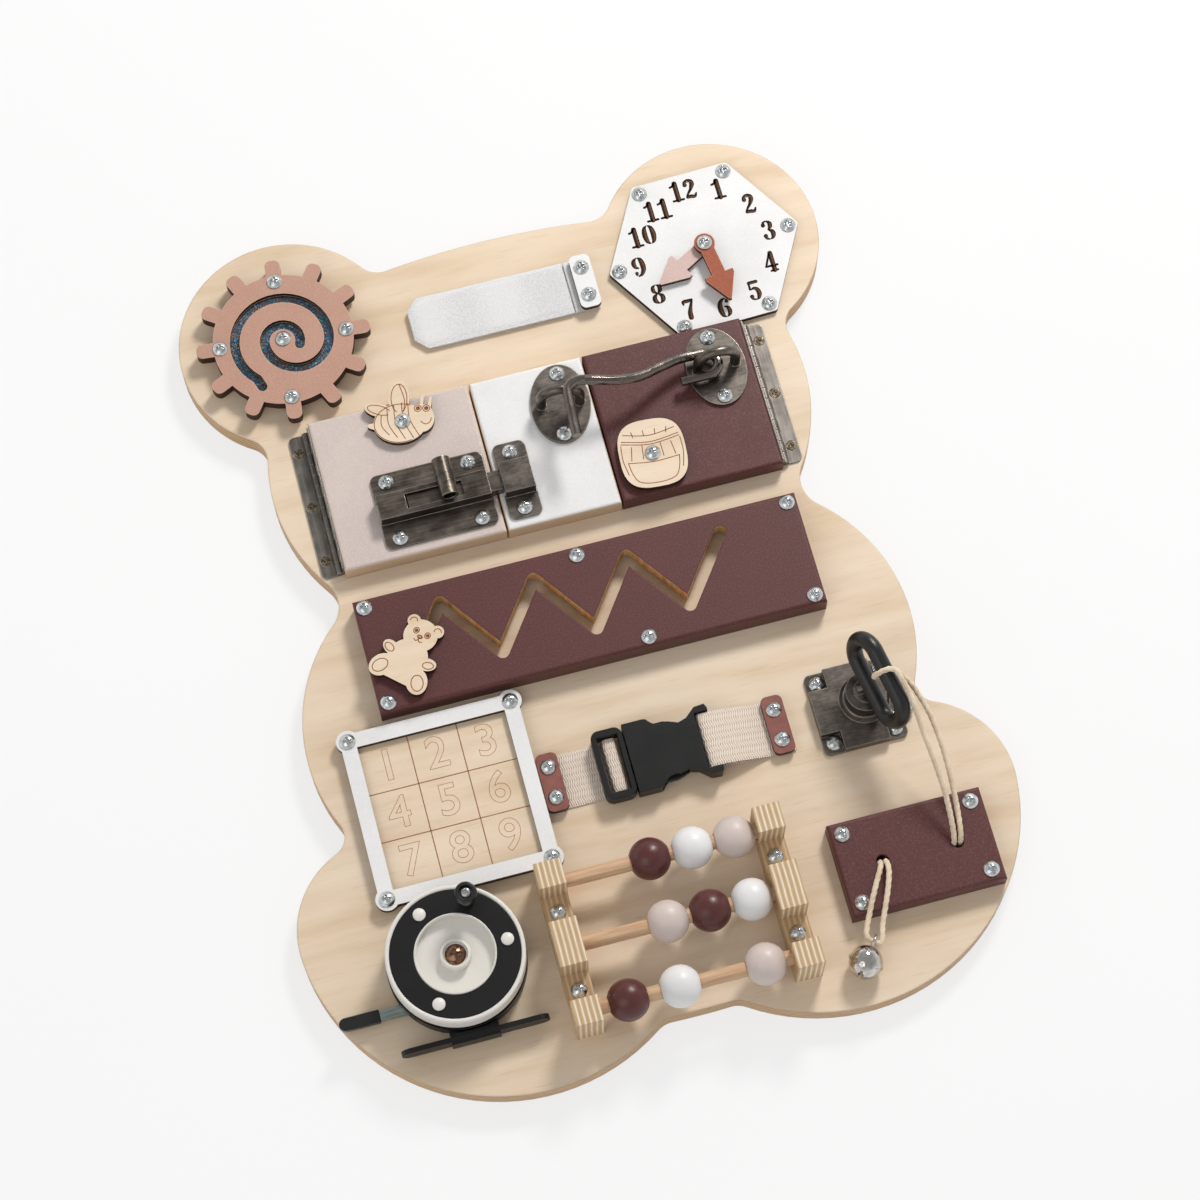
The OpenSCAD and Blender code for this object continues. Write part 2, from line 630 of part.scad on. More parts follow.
module door_leaf() {
    lip = knuckle_r + 0.25;
    difference() {
        union() {
            knuckles(1, lip + cut, true);
            translate([-knuckle_r, -hinge_len / 2, lip]) cube([leaf_t, hinge_len, door_leaf_h - lip]);
        }
        for (k = [-1 : 1]) translate([-knuckle_r - cut, k * leaf_screw_gap, 6.2 - knuckle_r])
            rotate([0, 90, 0]) cylinder(r = 1 + screw_gap, h = leaf_t + 2 * cut);
    }
}
module right_door_leaf() { color("dimgray") translate([pin_x, door_y, pin_z]) door_leaf(); }
module left_door_leaf() { color("dimgray") translate([-pin_x, door_y, pin_z]) mirror([1, 0, 0]) door_leaf(); }
// Flush rivets that fix a leaf to the side of its door
module leaf_rivets(side) {
    for (k = [-1 : 1]) translate([side * (door_out + screw_gap + leaf_t), door_y + k * leaf_screw_gap, top + 6.2])
        rotate([0, -side * 90, 0]) cylinder(r = 1, h = leaf_t + 5);
}
module left_door_screws() {
    color("silver") {
        at([for (p = bolt_screws) [p[0], p[1], face + stamp_t]]) screw(bite);
        translate([bee_c[0], bee_c[1], figure_top + 0.2]) screw(figure_top + 0.2 - face + bite - 1);
        leaf_rivets(-1);
    }
}
module right_door_screws() {
    color("silver") {
        at([for (p = hook_screws) [p[0], p[1], face + oval_t]]) screw(bite);
        translate([barrel_c[0], barrel_c[1], figure_top + 0.2]) screw(figure_top + 0.2 - face + bite - 1);
        leaf_rivets(1);
    }
}

// ---------------------------------------------------------------- barrel bolt
housing_w = 56;
housing_h = 39;
channel_in_w = bolt_w + 2 * run_gap;
channel_in_h = bolt_h + 3 * run_gap;
channel_h = channel_in_h + stamp_t;
knob_x = -52;
neck_w = 5;
bolt_ahead = 4.5;
slot_w = 7.6;
keeper_w = 16.4;
keeper_in_w = 13.8;
bolt_tip = keeper_c[0] - keeper_w / 2 + 0.2;
bolt_tail = -72;
module channel(length, in_w, in_h) {
    translate([-length / 2, 0, 0]) difference() {
        translate([0, -in_w / 2 - stamp_t, 0]) cube([length, in_w + 2 * stamp_t, in_h + stamp_t]);
        translate([-cut, -in_w / 2, -cut]) cube([length + 2 * cut, in_w, in_h + cut]);
    }
}
module stamped(w, h, length, in_w, in_h) {
    difference() {
        plate(stamp_t) rounded(w, h, 3.5);
        translate([-w, -in_w / 2, -cut]) cube([2 * w, in_w, stamp_t + 2 * cut]);
    }
    channel(length, in_w, in_h);
}
module bolt_housing() {
    color("dimgray") translate([bolt_c[0], bolt_c[1], face]) difference() {
        stamped(housing_w, housing_h, housing_w - 1, channel_in_w, channel_in_h);
        left = knob_x - bolt_c[0] - neck_w / 2 - bolt_back - run_gap;
        right = knob_x - bolt_c[0] + neck_w / 2 + bolt_ahead + run_gap;
        translate([left, -slot_w / 2, channel_in_h - cut]) cube([right - left, slot_w, stamp_t + 2 * cut]);
        at([for (x = [-1, 1], y = [-1, 1]) [x * 20.4, y * keeper_screw, -cut]]) cylinder(r = hole_r, h = stamp_t + 2 * cut);
    }
}
module bolt_keeper() {
    translate([keeper_c[0], keeper_c[1], face]) difference() {
        stamped(keeper_w, housing_h + 1, keeper_w - 1.2, keeper_in_w, channel_in_h);
        at([for (y = [-1, 1]) [0, y * keeper_screw, -cut]]) cylinder(r = hole_r, h = stamp_t + 2 * cut);
    }
}
curl_r = 4.4;
curl_len = 19.6;
module slide_bolt() {
    curl_z = channel_h + 0.8 + curl_r;
    color("dimgray") translate([0, bolt_c[1], face]) {
        translate([bolt_tail, -bolt_w / 2, run_gap]) cube([bolt_tip - bolt_tail, bolt_w, bolt_h]);
        difference() {
            union() {
                translate([knob_x - neck_w / 2, -3.4, bolt_h]) cube([neck_w, 6.8, curl_z - bolt_h - 2]);
                translate([knob_x, -4.8, curl_z]) rotate([-90, 0, 0]) cylinder(r = curl_r, h = curl_len);
            }
            translate([knob_x, -4.8 - cut, curl_z]) rotate([-90, 0, 0]) cylinder(r = curl_r - stamp_t, h = curl_len + 2 * cut);
        }
    }
}

// ---------------------------------------------------------------- cabin hook
oval_t = 1.6;
oval_a = 14.8;
oval_b = 20.8;
module staple_plate() {
    difference() {
        plate(oval_t) polygon(oval(oval_a, oval_b, 60));
        at([for (s = [-1, 1]) [0, s * plate_screw, -cut]]) cylinder(r = hole_r, h = oval_t + 2 * cut);
    }
    for (s = [-1, 1]) translate([s * staple_r, 0, oval_t - 0.4]) cylinder(r = rod_r, h = staple_leg + 0.4);
    translate([0, 0, oval_t + staple_leg]) rotate([90, 0, 0]) intersection() {
        rotate_extrude($fn = 96) translate([staple_r, 0]) circle(rod_r, $fn = 48);
        translate([-30, 0, -30]) cube([60, 60, 60]);
    }
}
module latch_catches() {
    color("dimgray") {
        bolt_keeper();
        translate([catch_c[0], catch_c[1], face]) rotate(catch_tilt) staple_plate();
    }
}
module hook_plate() { color("dimgray") translate([hook_c[0], hook_c[1], face]) staple_plate(); }
// The hook turns on the near leg of its staple and rests on top of the other staple
eye_x = hook_c[0] - staple_r;
eye_r = 2 * rod_r + 0.7;
eye_z = face + oval_t + 3 * run_gap + 2 * rod_r;
rest_z = face + oval_t + staple_leg + staple_r + 2 * rod_r + run_gap;
bend_x = eye_x + 4.5;
module hook_rod() {
    y = hook_c[1];
    lift = rest_z - eye_z;
    route = concat([[eye_x - 10, y - eye_r, eye_z], [eye_x - 5, y - eye_r, eye_z]],
                   [for (p = arc([bend_x, y], eye_r, -90, 90, 8)) [p[0], p[1], eye_z]],
                   curve([[eye_x, y + eye_r, eye_z + 0.03 * lift], [eye_x - 8, y + eye_r - 0.6, eye_z + 0.14 * lift],
                    [eye_x - 18, y + 2, eye_z + 0.34 * lift], [eye_x - 30, y - 2, eye_z + 0.58 * lift],
                    [eye_x - 42, y - 2.6, eye_z + 0.82 * lift], [eye_x - 54, y - 0.6, rest_z],
                    [eye_x - 61, y + 0.6, rest_z], [eye_x - 65.6, y - 1.6, rest_z],
                    [eye_x - 66.8, y - 6.6, rest_z], [eye_x - 67.4, y - 16, rest_z],
                    [eye_x - 68, y - 27, rest_z]], 3));
    color("dimgray") tube(route, rod_r, 16);
}

// ---------------------------------------------------------------- wooden figures
figure_z = face + 0.7;
figure_top = figure_z + thin_ply;
module figure(c) {
    translate([c[0], c[1], figure_z]) difference() {
        plate(thin_ply) children();
        translate([0, 0, -cut]) cylinder(r = turn_r, h = thin_ply + 2 * cut);
    }
}
module bee() {
    color("wheat") figure(bee_c) {
        rotate(-8) translate([-1.5, -1]) polygon(oval(13, 10.5));
        rotate(-8) translate([9, 0.5]) polygon(oval(6.5, 7.5, 36));
        translate([1, 12]) rotate(78) polygon(oval(9.5, 5.2, 36));
        translate([-10, 8.5]) rotate(150) polygon(oval(7.5, 3.6, 36));
        translate([-13.4, 0.4]) rotate(-20) polygon(oval(4.2, 1.7, 24));
        for (p = [[11.3, 7.4], [14.8, 5.4]]) translate(p) rotate(69) polygon(oval(4.2, 0.9, 20));
    }
}
module barrel() { color("wheat") figure(barrel_c) rotate(-4) polygon(squircle(16.4, 17.8, 3)); }

// ---------------------------------------------------------------- zigzag panel and slider
zig_step = 23.1;
zig_peak = zig_y + 18;
zig_valley = zig_y - 14;
zig_path = [for (k = [0 : 7]) [-92.6 + zig_step * k + (k == 0 ? 2 : k == 7 ? 0.6 : 0), k % 2 ? zig_peak : zig_valley]];
zig_dir = (zig_path[1] - zig_path[0]) / norm(zig_path[1] - zig_path[0]);
foot_slot_w = 12;
foot_slot_d = 3.2;
module zigzag_panel() {
    color("maroon") difference() {
        translate([0, zig_y, top]) slab(zig_w, zig_h, zig_t);
        translate([0, 0, top - cut]) plate(zig_t + 2 * cut) polygon(stroke(zig_path, zig_slot_w / 2));
        translate([0, 0, top - cut]) plate(foot_slot_d + cut) polygon(stroke(zig_path, foot_slot_w / 2));
        at([for (p = concat(zig_screws, zig_mid_screws)) [p[0], p[1], top - cut]]) cylinder(r = hole_r, h = zig_t + 2 * cut);
    }
}
post_c = zig_path[0] + 1.5 * zig_dir;
teddy_c = [-92, -11.2];
teddy_a = -42.5;
teddy_z = top + zig_t + 0.5;
module teddy_outline() {
    translate([0, 14.1]) circle(8.2);
    for (s = [-1, 1]) {
        translate([s * 6.3, 19.4]) circle(3.2);
        translate([s * 9.6, 2.6]) rotate(s * 20) polygon(oval(4.6, 3.2, 32));
        translate([s * 9.4, -7]) rotate(s * -60) polygon(oval(6.6, 5.2, 36));
    }
    polygon(squircle(9.6, 10.6, 2.4));
    translate([-9, -11.2]) square([18, 8]);
}
module teddy_slider() {
    color("wheat") {
        translate([teddy_c[0], teddy_c[1], teddy_z]) rotate(teddy_a) plate(thin_ply) teddy_outline();
        translate([post_c[0], post_c[1], top + foot_slot_d - 0.5]) cylinder(d = post_d, h = teddy_z - top - foot_slot_d + 0.5);
        translate([post_c[0], post_c[1], top + 0.4]) cylinder(d = foot_slot_w - 1, h = foot_slot_d - 0.8);
    }
}

// ---------------------------------------------------------------- number frame
strip_w = 7.4;
module number_frame() {
    color("white") translate([number_c[0], number_c[1], top + thin_ply]) difference() {
        plate(thin_ply) difference() {
            union() {
                rounded(2 * number_screw + strip_w, 2 * number_screw + strip_w, 2);
                at([for (x = [-1, 1], y = [-1, 1]) number_screw * [x, y]]) circle(5.6);
            }
            square(2 * number_screw - strip_w, center = true);
        }
        at([for (x = [-1, 1], y = [-1, 1]) [x * number_screw, y * number_screw, -cut]]) cylinder(r = hole_r, h = thin_ply + 2 * cut);
    }
}
module number_sheet() {
    cell = (2 * number_screw - strip_w) / 3;
    color("wheat") translate([number_c[0], number_c[1], top]) difference() {
        plate(thin_ply) rounded(2 * number_screw + strip_w - 1, 2 * number_screw + strip_w - 1, 2);
        for (a = [0, 90], s = [-1, 1]) rotate(a)
            translate([s * cell / 2 - 0.25, -1.5 * cell, thin_ply - 0.3]) cube([0.5, 3 * cell, 1]);
        at([for (x = [-1, 1], y = [-1, 1]) [x * number_screw, y * number_screw, -cut]]) cylinder(r = hole_r, h = thin_ply + 2 * cut);
    }
}

// ---------------------------------------------------------------- buckle and webbing
web_t = 1.6;
web_top = top + web_t;
buckle_z = web_top + run_gap;
buckle_t = 8.4;
male_l = -17.2;
male_r = -2;
female_l = -1.5;
female_r = 40;
bar_z = buckle_z + 0.2;
bar_t = 2.6;
bar_l = -11;
bar_r = -7.2;
module web_profile(p) { translate([0, web_y + web_w / 2, 0]) rotate([90, 0, 0]) plate(web_w) polygon(p); }
// Each webbing runs from under its clamp and over the bar of its buckle half
module webbing_left() {
    t = bar_z + bar_t + run_gap;
    l = bar_l - run_gap;
    r = bar_r + run_gap;
    color("antiquewhite") difference() {
        web_profile([[web_clamp_l - clamp_w / 2 - 0.5, top], [r + web_t, top], [r + web_t, t + web_t],
                     [l - web_t, t + web_t], [l - web_t, web_top], [web_clamp_l - clamp_w / 2 - 0.5, web_top]]);
        translate([l, web_y - web_w, web_top]) cube([r - l, 2 * web_w, t - web_top]);
        at([for (p = web_screws) [p[0], p[1], top - cut]]) cylinder(r = hole_r, h = 2 * web_t + cut);
    }
}
end_bar_l = 36.6;
slot_l = 33.2;
module webbing_right() {
    t = buckle_z + buckle_t - 2.4;
    l = slot_l + run_gap;
    color("antiquewhite") difference() {
        web_profile([[l, top], [web_clamp_r + clamp_w / 2 + 0.5, top], [web_clamp_r + clamp_w / 2 + 0.5, web_top],
                     [web_clamp_r - clamp_w / 2 - 0.6, web_top], [web_clamp_r - clamp_w / 2 - 3, web_top + 1.5],
                     [female_r + 3, t + web_t],
                     [l, t + web_t]]);
        translate([l + web_t, web_y - web_w, web_top]) cube([female_r + 2 - l - web_t, 2 * web_w, t - web_top]);
        translate([0, web_y, 0]) rotate([90, 0, 0]) translate([0, 0, -web_w]) linear_extrude(2 * web_w)
            polygon([[female_r + 1.5, web_top], [web_clamp_r - clamp_w / 2 - 4, web_top], [female_r + 1.5, t]]);
        at([for (p = web_screws) [p[0], p[1], top - cut]]) cylinder(r = hole_r, h = 4 * web_t + cut);
    }
}
mouth_in = 15.2;
cavity_z = buckle_z + 1.7;
cavity_t = buckle_t - 3.4;
prong_in = 8.6;
prong_out = 11.4;
prong_x = 1.2;
prong_r = 1.7;
prong_end = 23.5;
module buckle_male() {
    w = buckle_w / 2;
    color("black") translate([0, web_y, 0]) {
        difference() {
            translate([(male_l + male_r) / 2, 0, buckle_z]) plate(buckle_t - 1) rounded(male_r - male_l, buckle_w, 4);
            translate([male_l + 2.6, -web_w / 2 - 0.4, buckle_z - cut]) cube([male_r - male_l - 5, web_w + 0.8, 20]);
        }
        translate([bar_l, -w + 1, bar_z]) cube([bar_r - bar_l, buckle_w - 2, bar_t]);
        translate([male_r - 0.5, -2.6, cavity_z + 0.4]) cube([22, 5.2, cavity_t - 0.8]);
        for (s = [-1, 1]) translate([male_r - 0.5, s * (prong_in + prong_out) / 2 - 2.6, cavity_z + 0.4])
            cube([prong_x - male_r - prong_r + 0.3, 5.2, cavity_t - 0.8]);
        for (s = [-1, 1]) translate([prong_x, s * (prong_in + prong_out) / 2, cavity_z + 0.4]) {
            cylinder(r = 0.9, h = cavity_t - 0.8);
            translate([-prong_r - 0.4, -1.2, 0]) cube([prong_r + 0.4, 2.4, 0.6]);
        }
    }
}
// A springy arm with a pressing pad, pressed in at rest
module prong(s) {
    mid = (prong_in + prong_out) / 2;
    color("black") translate([0, web_y, cavity_z + 1.2]) mirror([0, s < 0 ? 1 : 0, 0]) difference() {
        plate(cavity_t - 2) {
            translate([prong_x, mid]) circle(prong_r);
            bar2d([prong_x, mid], [12, mid], 2.4);
            polygon([[10, prong_in], [prong_end, prong_in - 1.6], [prong_end, 10.6], [22, 13.4], [18, 14.6], [12.5, 14.6],
                     [10.6, 13.2]]);
        }
        translate([prong_x, mid, -cut]) cylinder(r = 0.95, h = 20);
    }
}
module prong_upper() { prong(1); }
module prong_lower() { prong(-1); }
module female_outline() {
    w = buckle_w / 2;
    polygon([[female_l, -w], [9, -w], [11, -w + 0.6], [25, -11.4], [29, -12.6], [34, -w + 0.4], [female_r - 1, -w],
             [female_r, -w + 2], [female_r, w - 2], [female_r - 1, w], [34, w - 0.4], [29, 12.6], [25, 11.4],
             [11, w - 0.6], [9, w], [female_l, w]]);
}
module buckle_female() {
    w = buckle_w / 2;
    color("black") translate([0, web_y, 0]) difference() {
        translate([0, 0, buckle_z]) plate(buckle_t) female_outline();
        translate([female_l - cut, -mouth_in, cavity_z]) cube([11.5 + cut, 2 * mouth_in, cavity_t]);
        translate([9.9, -w - cut, cavity_z]) cube([14.6, 2 * w + 2 * cut, cavity_t]);
        for (s = [-1, 1]) translate([17.2, s * (w + 3.2), buckle_z - cut]) cylinder(r = 7.6, h = 20);
        translate([slot_l, -web_w / 2 - 0.4, buckle_z - cut]) cube([end_bar_l - slot_l, web_w + 0.8, 20]);
        translate([end_bar_l - cut, -web_w / 2 - 0.4, buckle_z + buckle_t - 2.4 - run_gap]) cube([20, web_w + 0.8, 20]);
    }
}

// ---------------------------------------------------------------- lock and key
lock_flange = 1.6;
pocket = 9.4;
plug_r = 6;
lock_barrel_h = 12;
lock_top = top + lock_h + lock_barrel_h;
lock_bolt_w = 20;
lock_bolt_h = 3;
lock_bolt_len = 11;
barrel_at = [4.3, 1.2];
plug_c = lock_c + barrel_at;
module lock_case() {
    half = lock_side / 2;
    color("dimgray") translate([lock_c[0], lock_c[1], top]) difference() {
        union() {
            plate(lock_h) rounded(lock_side, lock_side, 3);
            translate([barrel_at[0], barrel_at[1], 0]) {
                cylinder(r = lock_barrel_r, h = lock_h + lock_barrel_h);
                translate([0, 0, lock_h]) cylinder(r1 = lock_barrel_r + 2.2, r2 = lock_barrel_r + 0.6, h = 2.5);
            }
        }
        translate([barrel_at[0], barrel_at[1], lock_h - 2]) cylinder(r = plug_r + 0.06, h = lock_barrel_h + 4);
        for (x = [-1, 1], y = [-1, 1]) {
            translate([x * (half - pocket / 2 + 1), y * (half - pocket / 2 + 1), lock_flange + 5])
                cube([pocket + 2, pocket + 2, 10], center = true);
            translate([x * lock_screw, y * lock_screw, -cut]) cylinder(r = hole_r, h = 10);
        }
        translate([half - lock_bolt_len - lock_throw - run_gap, -lock_bolt_w / 2 - run_gap, lock_bolt_z])
            cube([lock_side, lock_bolt_w + 2 * run_gap, lock_bolt_h + 2 * run_gap]);
    }
}
lock_bolt_z = 0.9;
module lock_bolt() {
    right = lock_c[0] + lock_side / 2 + lock_throw;
    color("silver") translate([right - lock_bolt_len, lock_c[1] - lock_bolt_w / 2, top + lock_bolt_z + run_gap])
        cube([lock_bolt_len, lock_bolt_w, lock_bolt_h]);
}
// The key's black bow is a long ring that leans beside its blade
bow_r = 3.9;
bow_long = 21;
bow_high = 9;
bow_at = [4.6, -1.1, 15.5];
bow_turn = -78;
bow_tilt = 12;
bow_lean = -20;
blade_w = 9.4;
blade_t = 2.4;
module key() {
    straight = bow_long - bow_high;
    translate([plug_c[0], plug_c[1], 0]) {
        color("dimgray") {
            translate([0, 0, top + lock_h - 1.6]) cylinder(r = plug_r, h = lock_barrel_h + 2.2);
            translate([-blade_w / 2, -blade_t / 2, lock_top]) cube([blade_w, blade_t, bow_at[2] - bow_high - bow_r + 4]);
        }
        color("black") translate([bow_at[0], bow_at[1], lock_top + bow_at[2]]) rotate(bow_turn)
            rotate([bow_lean, bow_tilt, 0]) rotate([90, 0, 0]) for (s = [-1, 1]) {
                translate([s * straight, 0, 0]) rotate(s > 0 ? -90 : 90)
                    rotate_extrude(angle = 180, $fn = 72) translate([bow_high, 0]) circle(bow_r, $fn = 36);
                translate([-straight, s * bow_high, 0]) rotate([0, 90, 0])
                    cylinder(r = bow_r, h = 2 * straight, $fn = 36);
            }
    }
}

// ---------------------------------------------------------------- cord plate, cords and bell
cord_r = 1.4;
module cord_plate() {
    color("maroon") translate([cord_plate_c[0], cord_plate_c[1], top]) difference() {
        slab(cord_plate_w, cord_plate_h, cord_plate_t);
        at([for (x = [-1, 1], y = [-1, 1]) [x * (cord_plate_w / 2 - 6), y * (cord_plate_h / 2 - 6), -cut]])
            cylinder(r = hole_r, h = cord_plate_t + 2 * cut);
        for (h = [cord_hole_key, cord_hole_bell]) translate([h[0] - cord_plate_c[0], h[1] - cord_plate_c[1], -cut])
            cylinder(r = cord_hole_r, h = cord_plate_t + 2 * cut);
    }
}
// Both cords are loops that leave a hole in the plate as two strands
key_route = [[133.9, -162.4, 17], [133.9, -162, 22.6], [134.6, -156.4, 26.6], [134.7, -142.6, 33.6],
             [133.4, -129.1, 40], [131.4, -114.2, 46.4], [130.2, -103.2, 51.4], [129.2, -97.4, 54.4],
             [127.7, -91.6, 57.2], [125.4, -85.4, 59.2], [121.6, -84.2, 59.8], [117.4, -84.4, 57.8], [115.7, -84.2, 54],
             [117.3, -83.3, 50], [121.3, -82.4, 48.2], [126.4, -82.4, 48.8], [130.6, -87.2, 49],
             [134, -95, 47.4], [137.5, -106.4, 43], [139.5, -121.2, 37], [139.8, -135.5, 31.4],
             [139.2, -148.5, 26.6], [138, -157.6, 25.4], [137.1, -162, 22.6], [137.1, -162.4, 17]];
bell_route = [[100.75, -162.9, 17], [100.5, -162.9, 22], [100.4, -165.4, 25.4], [99.7, -169.6, 26.8], [97, -177, 26.4], [93.4, -185, 25],
              [90.2, -192, 24.2], [88.4, -197.2, 24.3], [86.6, -200.4, 24.8], [83.85, -199.06, 24.9],
              [81.6, -196.4, 24.9], [82.3, -192.6, 24.6], [85.2, -186.6, 24.8], [89.2, -179, 25.8],
              [93.2, -172, 26.6], [96.8, -165.8, 25.8], [97.8, -162.9, 22.2], [97.65, -162.9, 17]];
module key_cord() { color("antiquewhite") tube(curve(key_route, 2), cord_r, 8); }
module bell_cord() { color("antiquewhite") tube(curve(bell_route, 2), cord_r, 8); }
bell_c = [78.2, -206.3];
bell_r = 8;
bell_wall = 0.7;
bell_eye_a = 52;
module bell() {
    color("silver") translate([bell_c[0], bell_c[1], top + bell_r]) {
        rotate(bell_eye_a) rotate([0, 62, 0]) {
            difference() {
                union() {
                    sphere(bell_r, $fn = 64);
                    cylinder(r = bell_r + 0.5, h = 1, center = true);
                }
                sphere(bell_r - bell_wall, $fn = 64);
                for (a = [0, 90]) rotate(a) translate([0, 0, -bell_r]) cube([2 * bell_r, 1.3, bell_r * 1.3], center = true);
                for (a = [0, 90], s = [-1, 1]) rotate(a) translate([s * bell_r * 0.74, 0, -bell_r * 0.6]) sphere(1.4, $fn = 32);
            }
            translate([0, 0, bell_r + 2.4]) rotate([90, 0, 0]) rotate_extrude($fn = 48) translate([2.9, 0]) circle(0.7, $fn = 24);
        }
        translate([-1.2, -0.8, -4.8]) sphere(2.2, $fn = 32);
    }
}

// ---------------------------------------------------------------- counting frame
notch_len = 16;
module rail(x) {
    translate([x, rail_y, top]) difference() {
        translate([-rail_w / 2, -rail_len / 2, 0]) cube([rail_w, rail_len, rail_h]);
        for (s = [-1, 1]) {
            translate([-rail_w, s * rail_screw_y - notch_len / 2, rail_floor]) cube([2 * rail_w, notch_len, rail_h]);
            translate([0, s * rail_screw_y, -cut]) cylinder(r = hole_r, h = rail_floor + 2 * cut);
        }
        for (k = [-1 : 1]) translate([-rail_w / 2 + 2.5, k * row_gap, dowel_z - top])
            rotate([0, 90, 0]) translate([0, 0, x > 0 ? -cut - 2.5 : 0]) cylinder(r = dowel_d / 2 + 0.05, h = rail_w + cut - 2.5);
    }
}
dowel_l = rail_l - rail_w / 2 + 2.7;
dowel_len = rail_r + rail_w / 2 - 5.2 - dowel_l;
module abacus_frame() {
    color("burlywood") {
        rail(rail_l);
        rail(rail_r);
        for (k = [-1 : 1]) translate([dowel_l, rail_y + k * row_gap, dowel_z])
            rotate([0, 90, 0]) cylinder(d = dowel_d, h = dowel_len);
    }
}
module bead(x, row) {
    bore = dowel_d / 2 + 0.35;
    translate([x, rail_y + (2 - row) * row_gap, dowel_z]) rotate([0, 90, 0]) difference() {
        intersection() {
            sphere(bead_d / 2, $fn = 72);
            cube([30, 30, 2 * sqrt(bead_d * bead_d / 4 - 16)], center = true);
        }
        cylinder(r = bore, h = 40, center = true);
    }
}
bead_1 = [-5.9, 14.4, 34.6];
bead_2 = [-5.7, 14.5, 34.6];
bead_3 = [-32.9, -8.2, 32.3];
module row_1_maroon() { color("maroon") bead(bead_1[0], 1); }
module row_1_white() { color("white") bead(bead_1[1], 1); }
module row_1_pink() { color("pink") bead(bead_1[2], 1); }
module row_2_pink() { color("pink") bead(bead_2[0], 2); }
module row_2_maroon() { color("maroon") bead(bead_2[1], 2); }
module row_2_white() { color("white") bead(bead_2[2], 2); }
module row_3_maroon() { color("maroon") bead(bead_3[0], 3); }
module row_3_white() { color("white") bead(bead_3[1], 3); }
module row_3_pink() { color("pink") bead(bead_3[2], 3); }

// ---------------------------------------------------------------- reel
axle_r = 2.6;
axle_head_r = 5.4;
axle_head_h = 2.2;
reel_boss_r = 12;
reel_boss_h = 2;
frame_t = 3;
frame_r = spool_r + 0.3;
frame_z = top + reel_boss_h;
cup_h = 8;
spool_z = frame_z + frame_t + 2.6;
flange_t = 2;
spool_top = spool_z + spool_depth;
dish_r = 18.2;
hub_r = 7.2;
rim_t = 2;
skirt_h = 10;
stem_w = 23;
reel_foot_len = 70;
reel_foot_y = -35.8;
lever_pivot = [-15, -15.5];
module reel_frame() {
    color("black") translate([reel_c[0], reel_c[1], frame_z]) difference() {
        union() {
            cylinder(r = frame_r, h = frame_t);
            difference() {
                cylinder(r = frame_r, h = cup_h);
                translate([0, 0, -cut]) cylinder(r = frame_r - 1.8, h = cup_h + 2 * cut);
            }
            translate([-stem_w / 2, reel_foot_y + 1, 0]) cube([stem_w, 10, 5]);
            translate([-reel_foot_len / 2 + 4, reel_foot_y - 1.2, 0]) cube([reel_foot_len - 8, 2.4, 9]);
            for (s = [-1, 1]) translate([s * (reel_foot_len / 2 - 4.5), reel_foot_y + 1.2, 4.5])
                rotate([90, 0, 0]) cylinder(r = 4.5, h = 2.4);
            translate([-stem_w / 2, reel_foot_y - 2.4, 0]) cube([stem_w, 5, 8]);
            translate([lever_pivot[0], lever_pivot[1], 0]) cylinder(r = 1.6, h = frame_t + 2);
        }
        translate([0, 0, -cut]) cylinder(r = axle_r + screw_gap, h = 20);
        for (a = [30 : 60 : 330]) rotate(a) translate([frame_r - 10, 0, -cut]) cylinder(r = 3.4, h = frame_t + 2 * cut);
        translate([lever_pivot[0] - 30, lever_pivot[1] - 6.5, frame_t]) cube([24, 13, 2.3]);
    }
}
module reel_lever() {
    translate([reel_c[0] + lever_pivot[0], reel_c[1] + lever_pivot[1], frame_z + frame_t + 0.2]) {
        color("silver") difference() {
            union() {
                cylinder(r = 3.6, h = 1.4);
                translate([-27, -2.6, 0]) cube([27, 5.2, 1.4]);
            }
            translate([0, 0, -cut]) cylinder(r = 1.65, h = 4);
        }
        color("black") translate([-44.6, 0, -0.9]) difference() {
            plate(3.2) { bar2d([3, 0], [15.5, 0], 6); translate([12, -3]) square([7.2, 6]); }
            translate([17.5, -2.7, 0.8]) cube([10, 5.4, 1.6]);
        }
    }
}
knob_a = 63.5;
knob_orbit = 25;
stud_r = 24.8;
stud_angles = [118, 1, 238.5];
ring_t = 1.6;
ring_z = spool_top - ring_t - 0.4;
module spool_profile() {
    // drum, front flange with rim, dish floor and hub, as one turned section
    polygon([[axle_r + 0.1, spool_z], [spool_r - 3, spool_z], [spool_r - 3, spool_z + 1.6], [dish_r + 1.4, spool_z + 1.6],
             [dish_r + 1.4, ring_z - flange_t], [spool_r - rim_t, ring_z - flange_t],
             [spool_r - rim_t, spool_top - skirt_h], [spool_r, spool_top - skirt_h], [spool_r, spool_top - 0.6],
             [spool_r - 0.6, spool_top], [spool_r - rim_t + 0.5, spool_top], [spool_r - rim_t, spool_top - 0.5],
             [spool_r - rim_t, ring_z], [dish_r + 0.9, ring_z], [dish_r + 0.9, spool_top - 0.4], [dish_r + 0.4, spool_top],
             [dish_r, spool_top - 0.4], [dish_r, spool_top - 5], [hub_r, spool_top - 6], [hub_r, spool_top - 1],
             [hub_r - 0.6, spool_top - 0.4], [axle_head_r + 0.5, spool_top - 0.4],
             [axle_head_r + 0.2, spool_top - 2.4], [axle_r + 0.1, spool_top - 2.4]]);
}
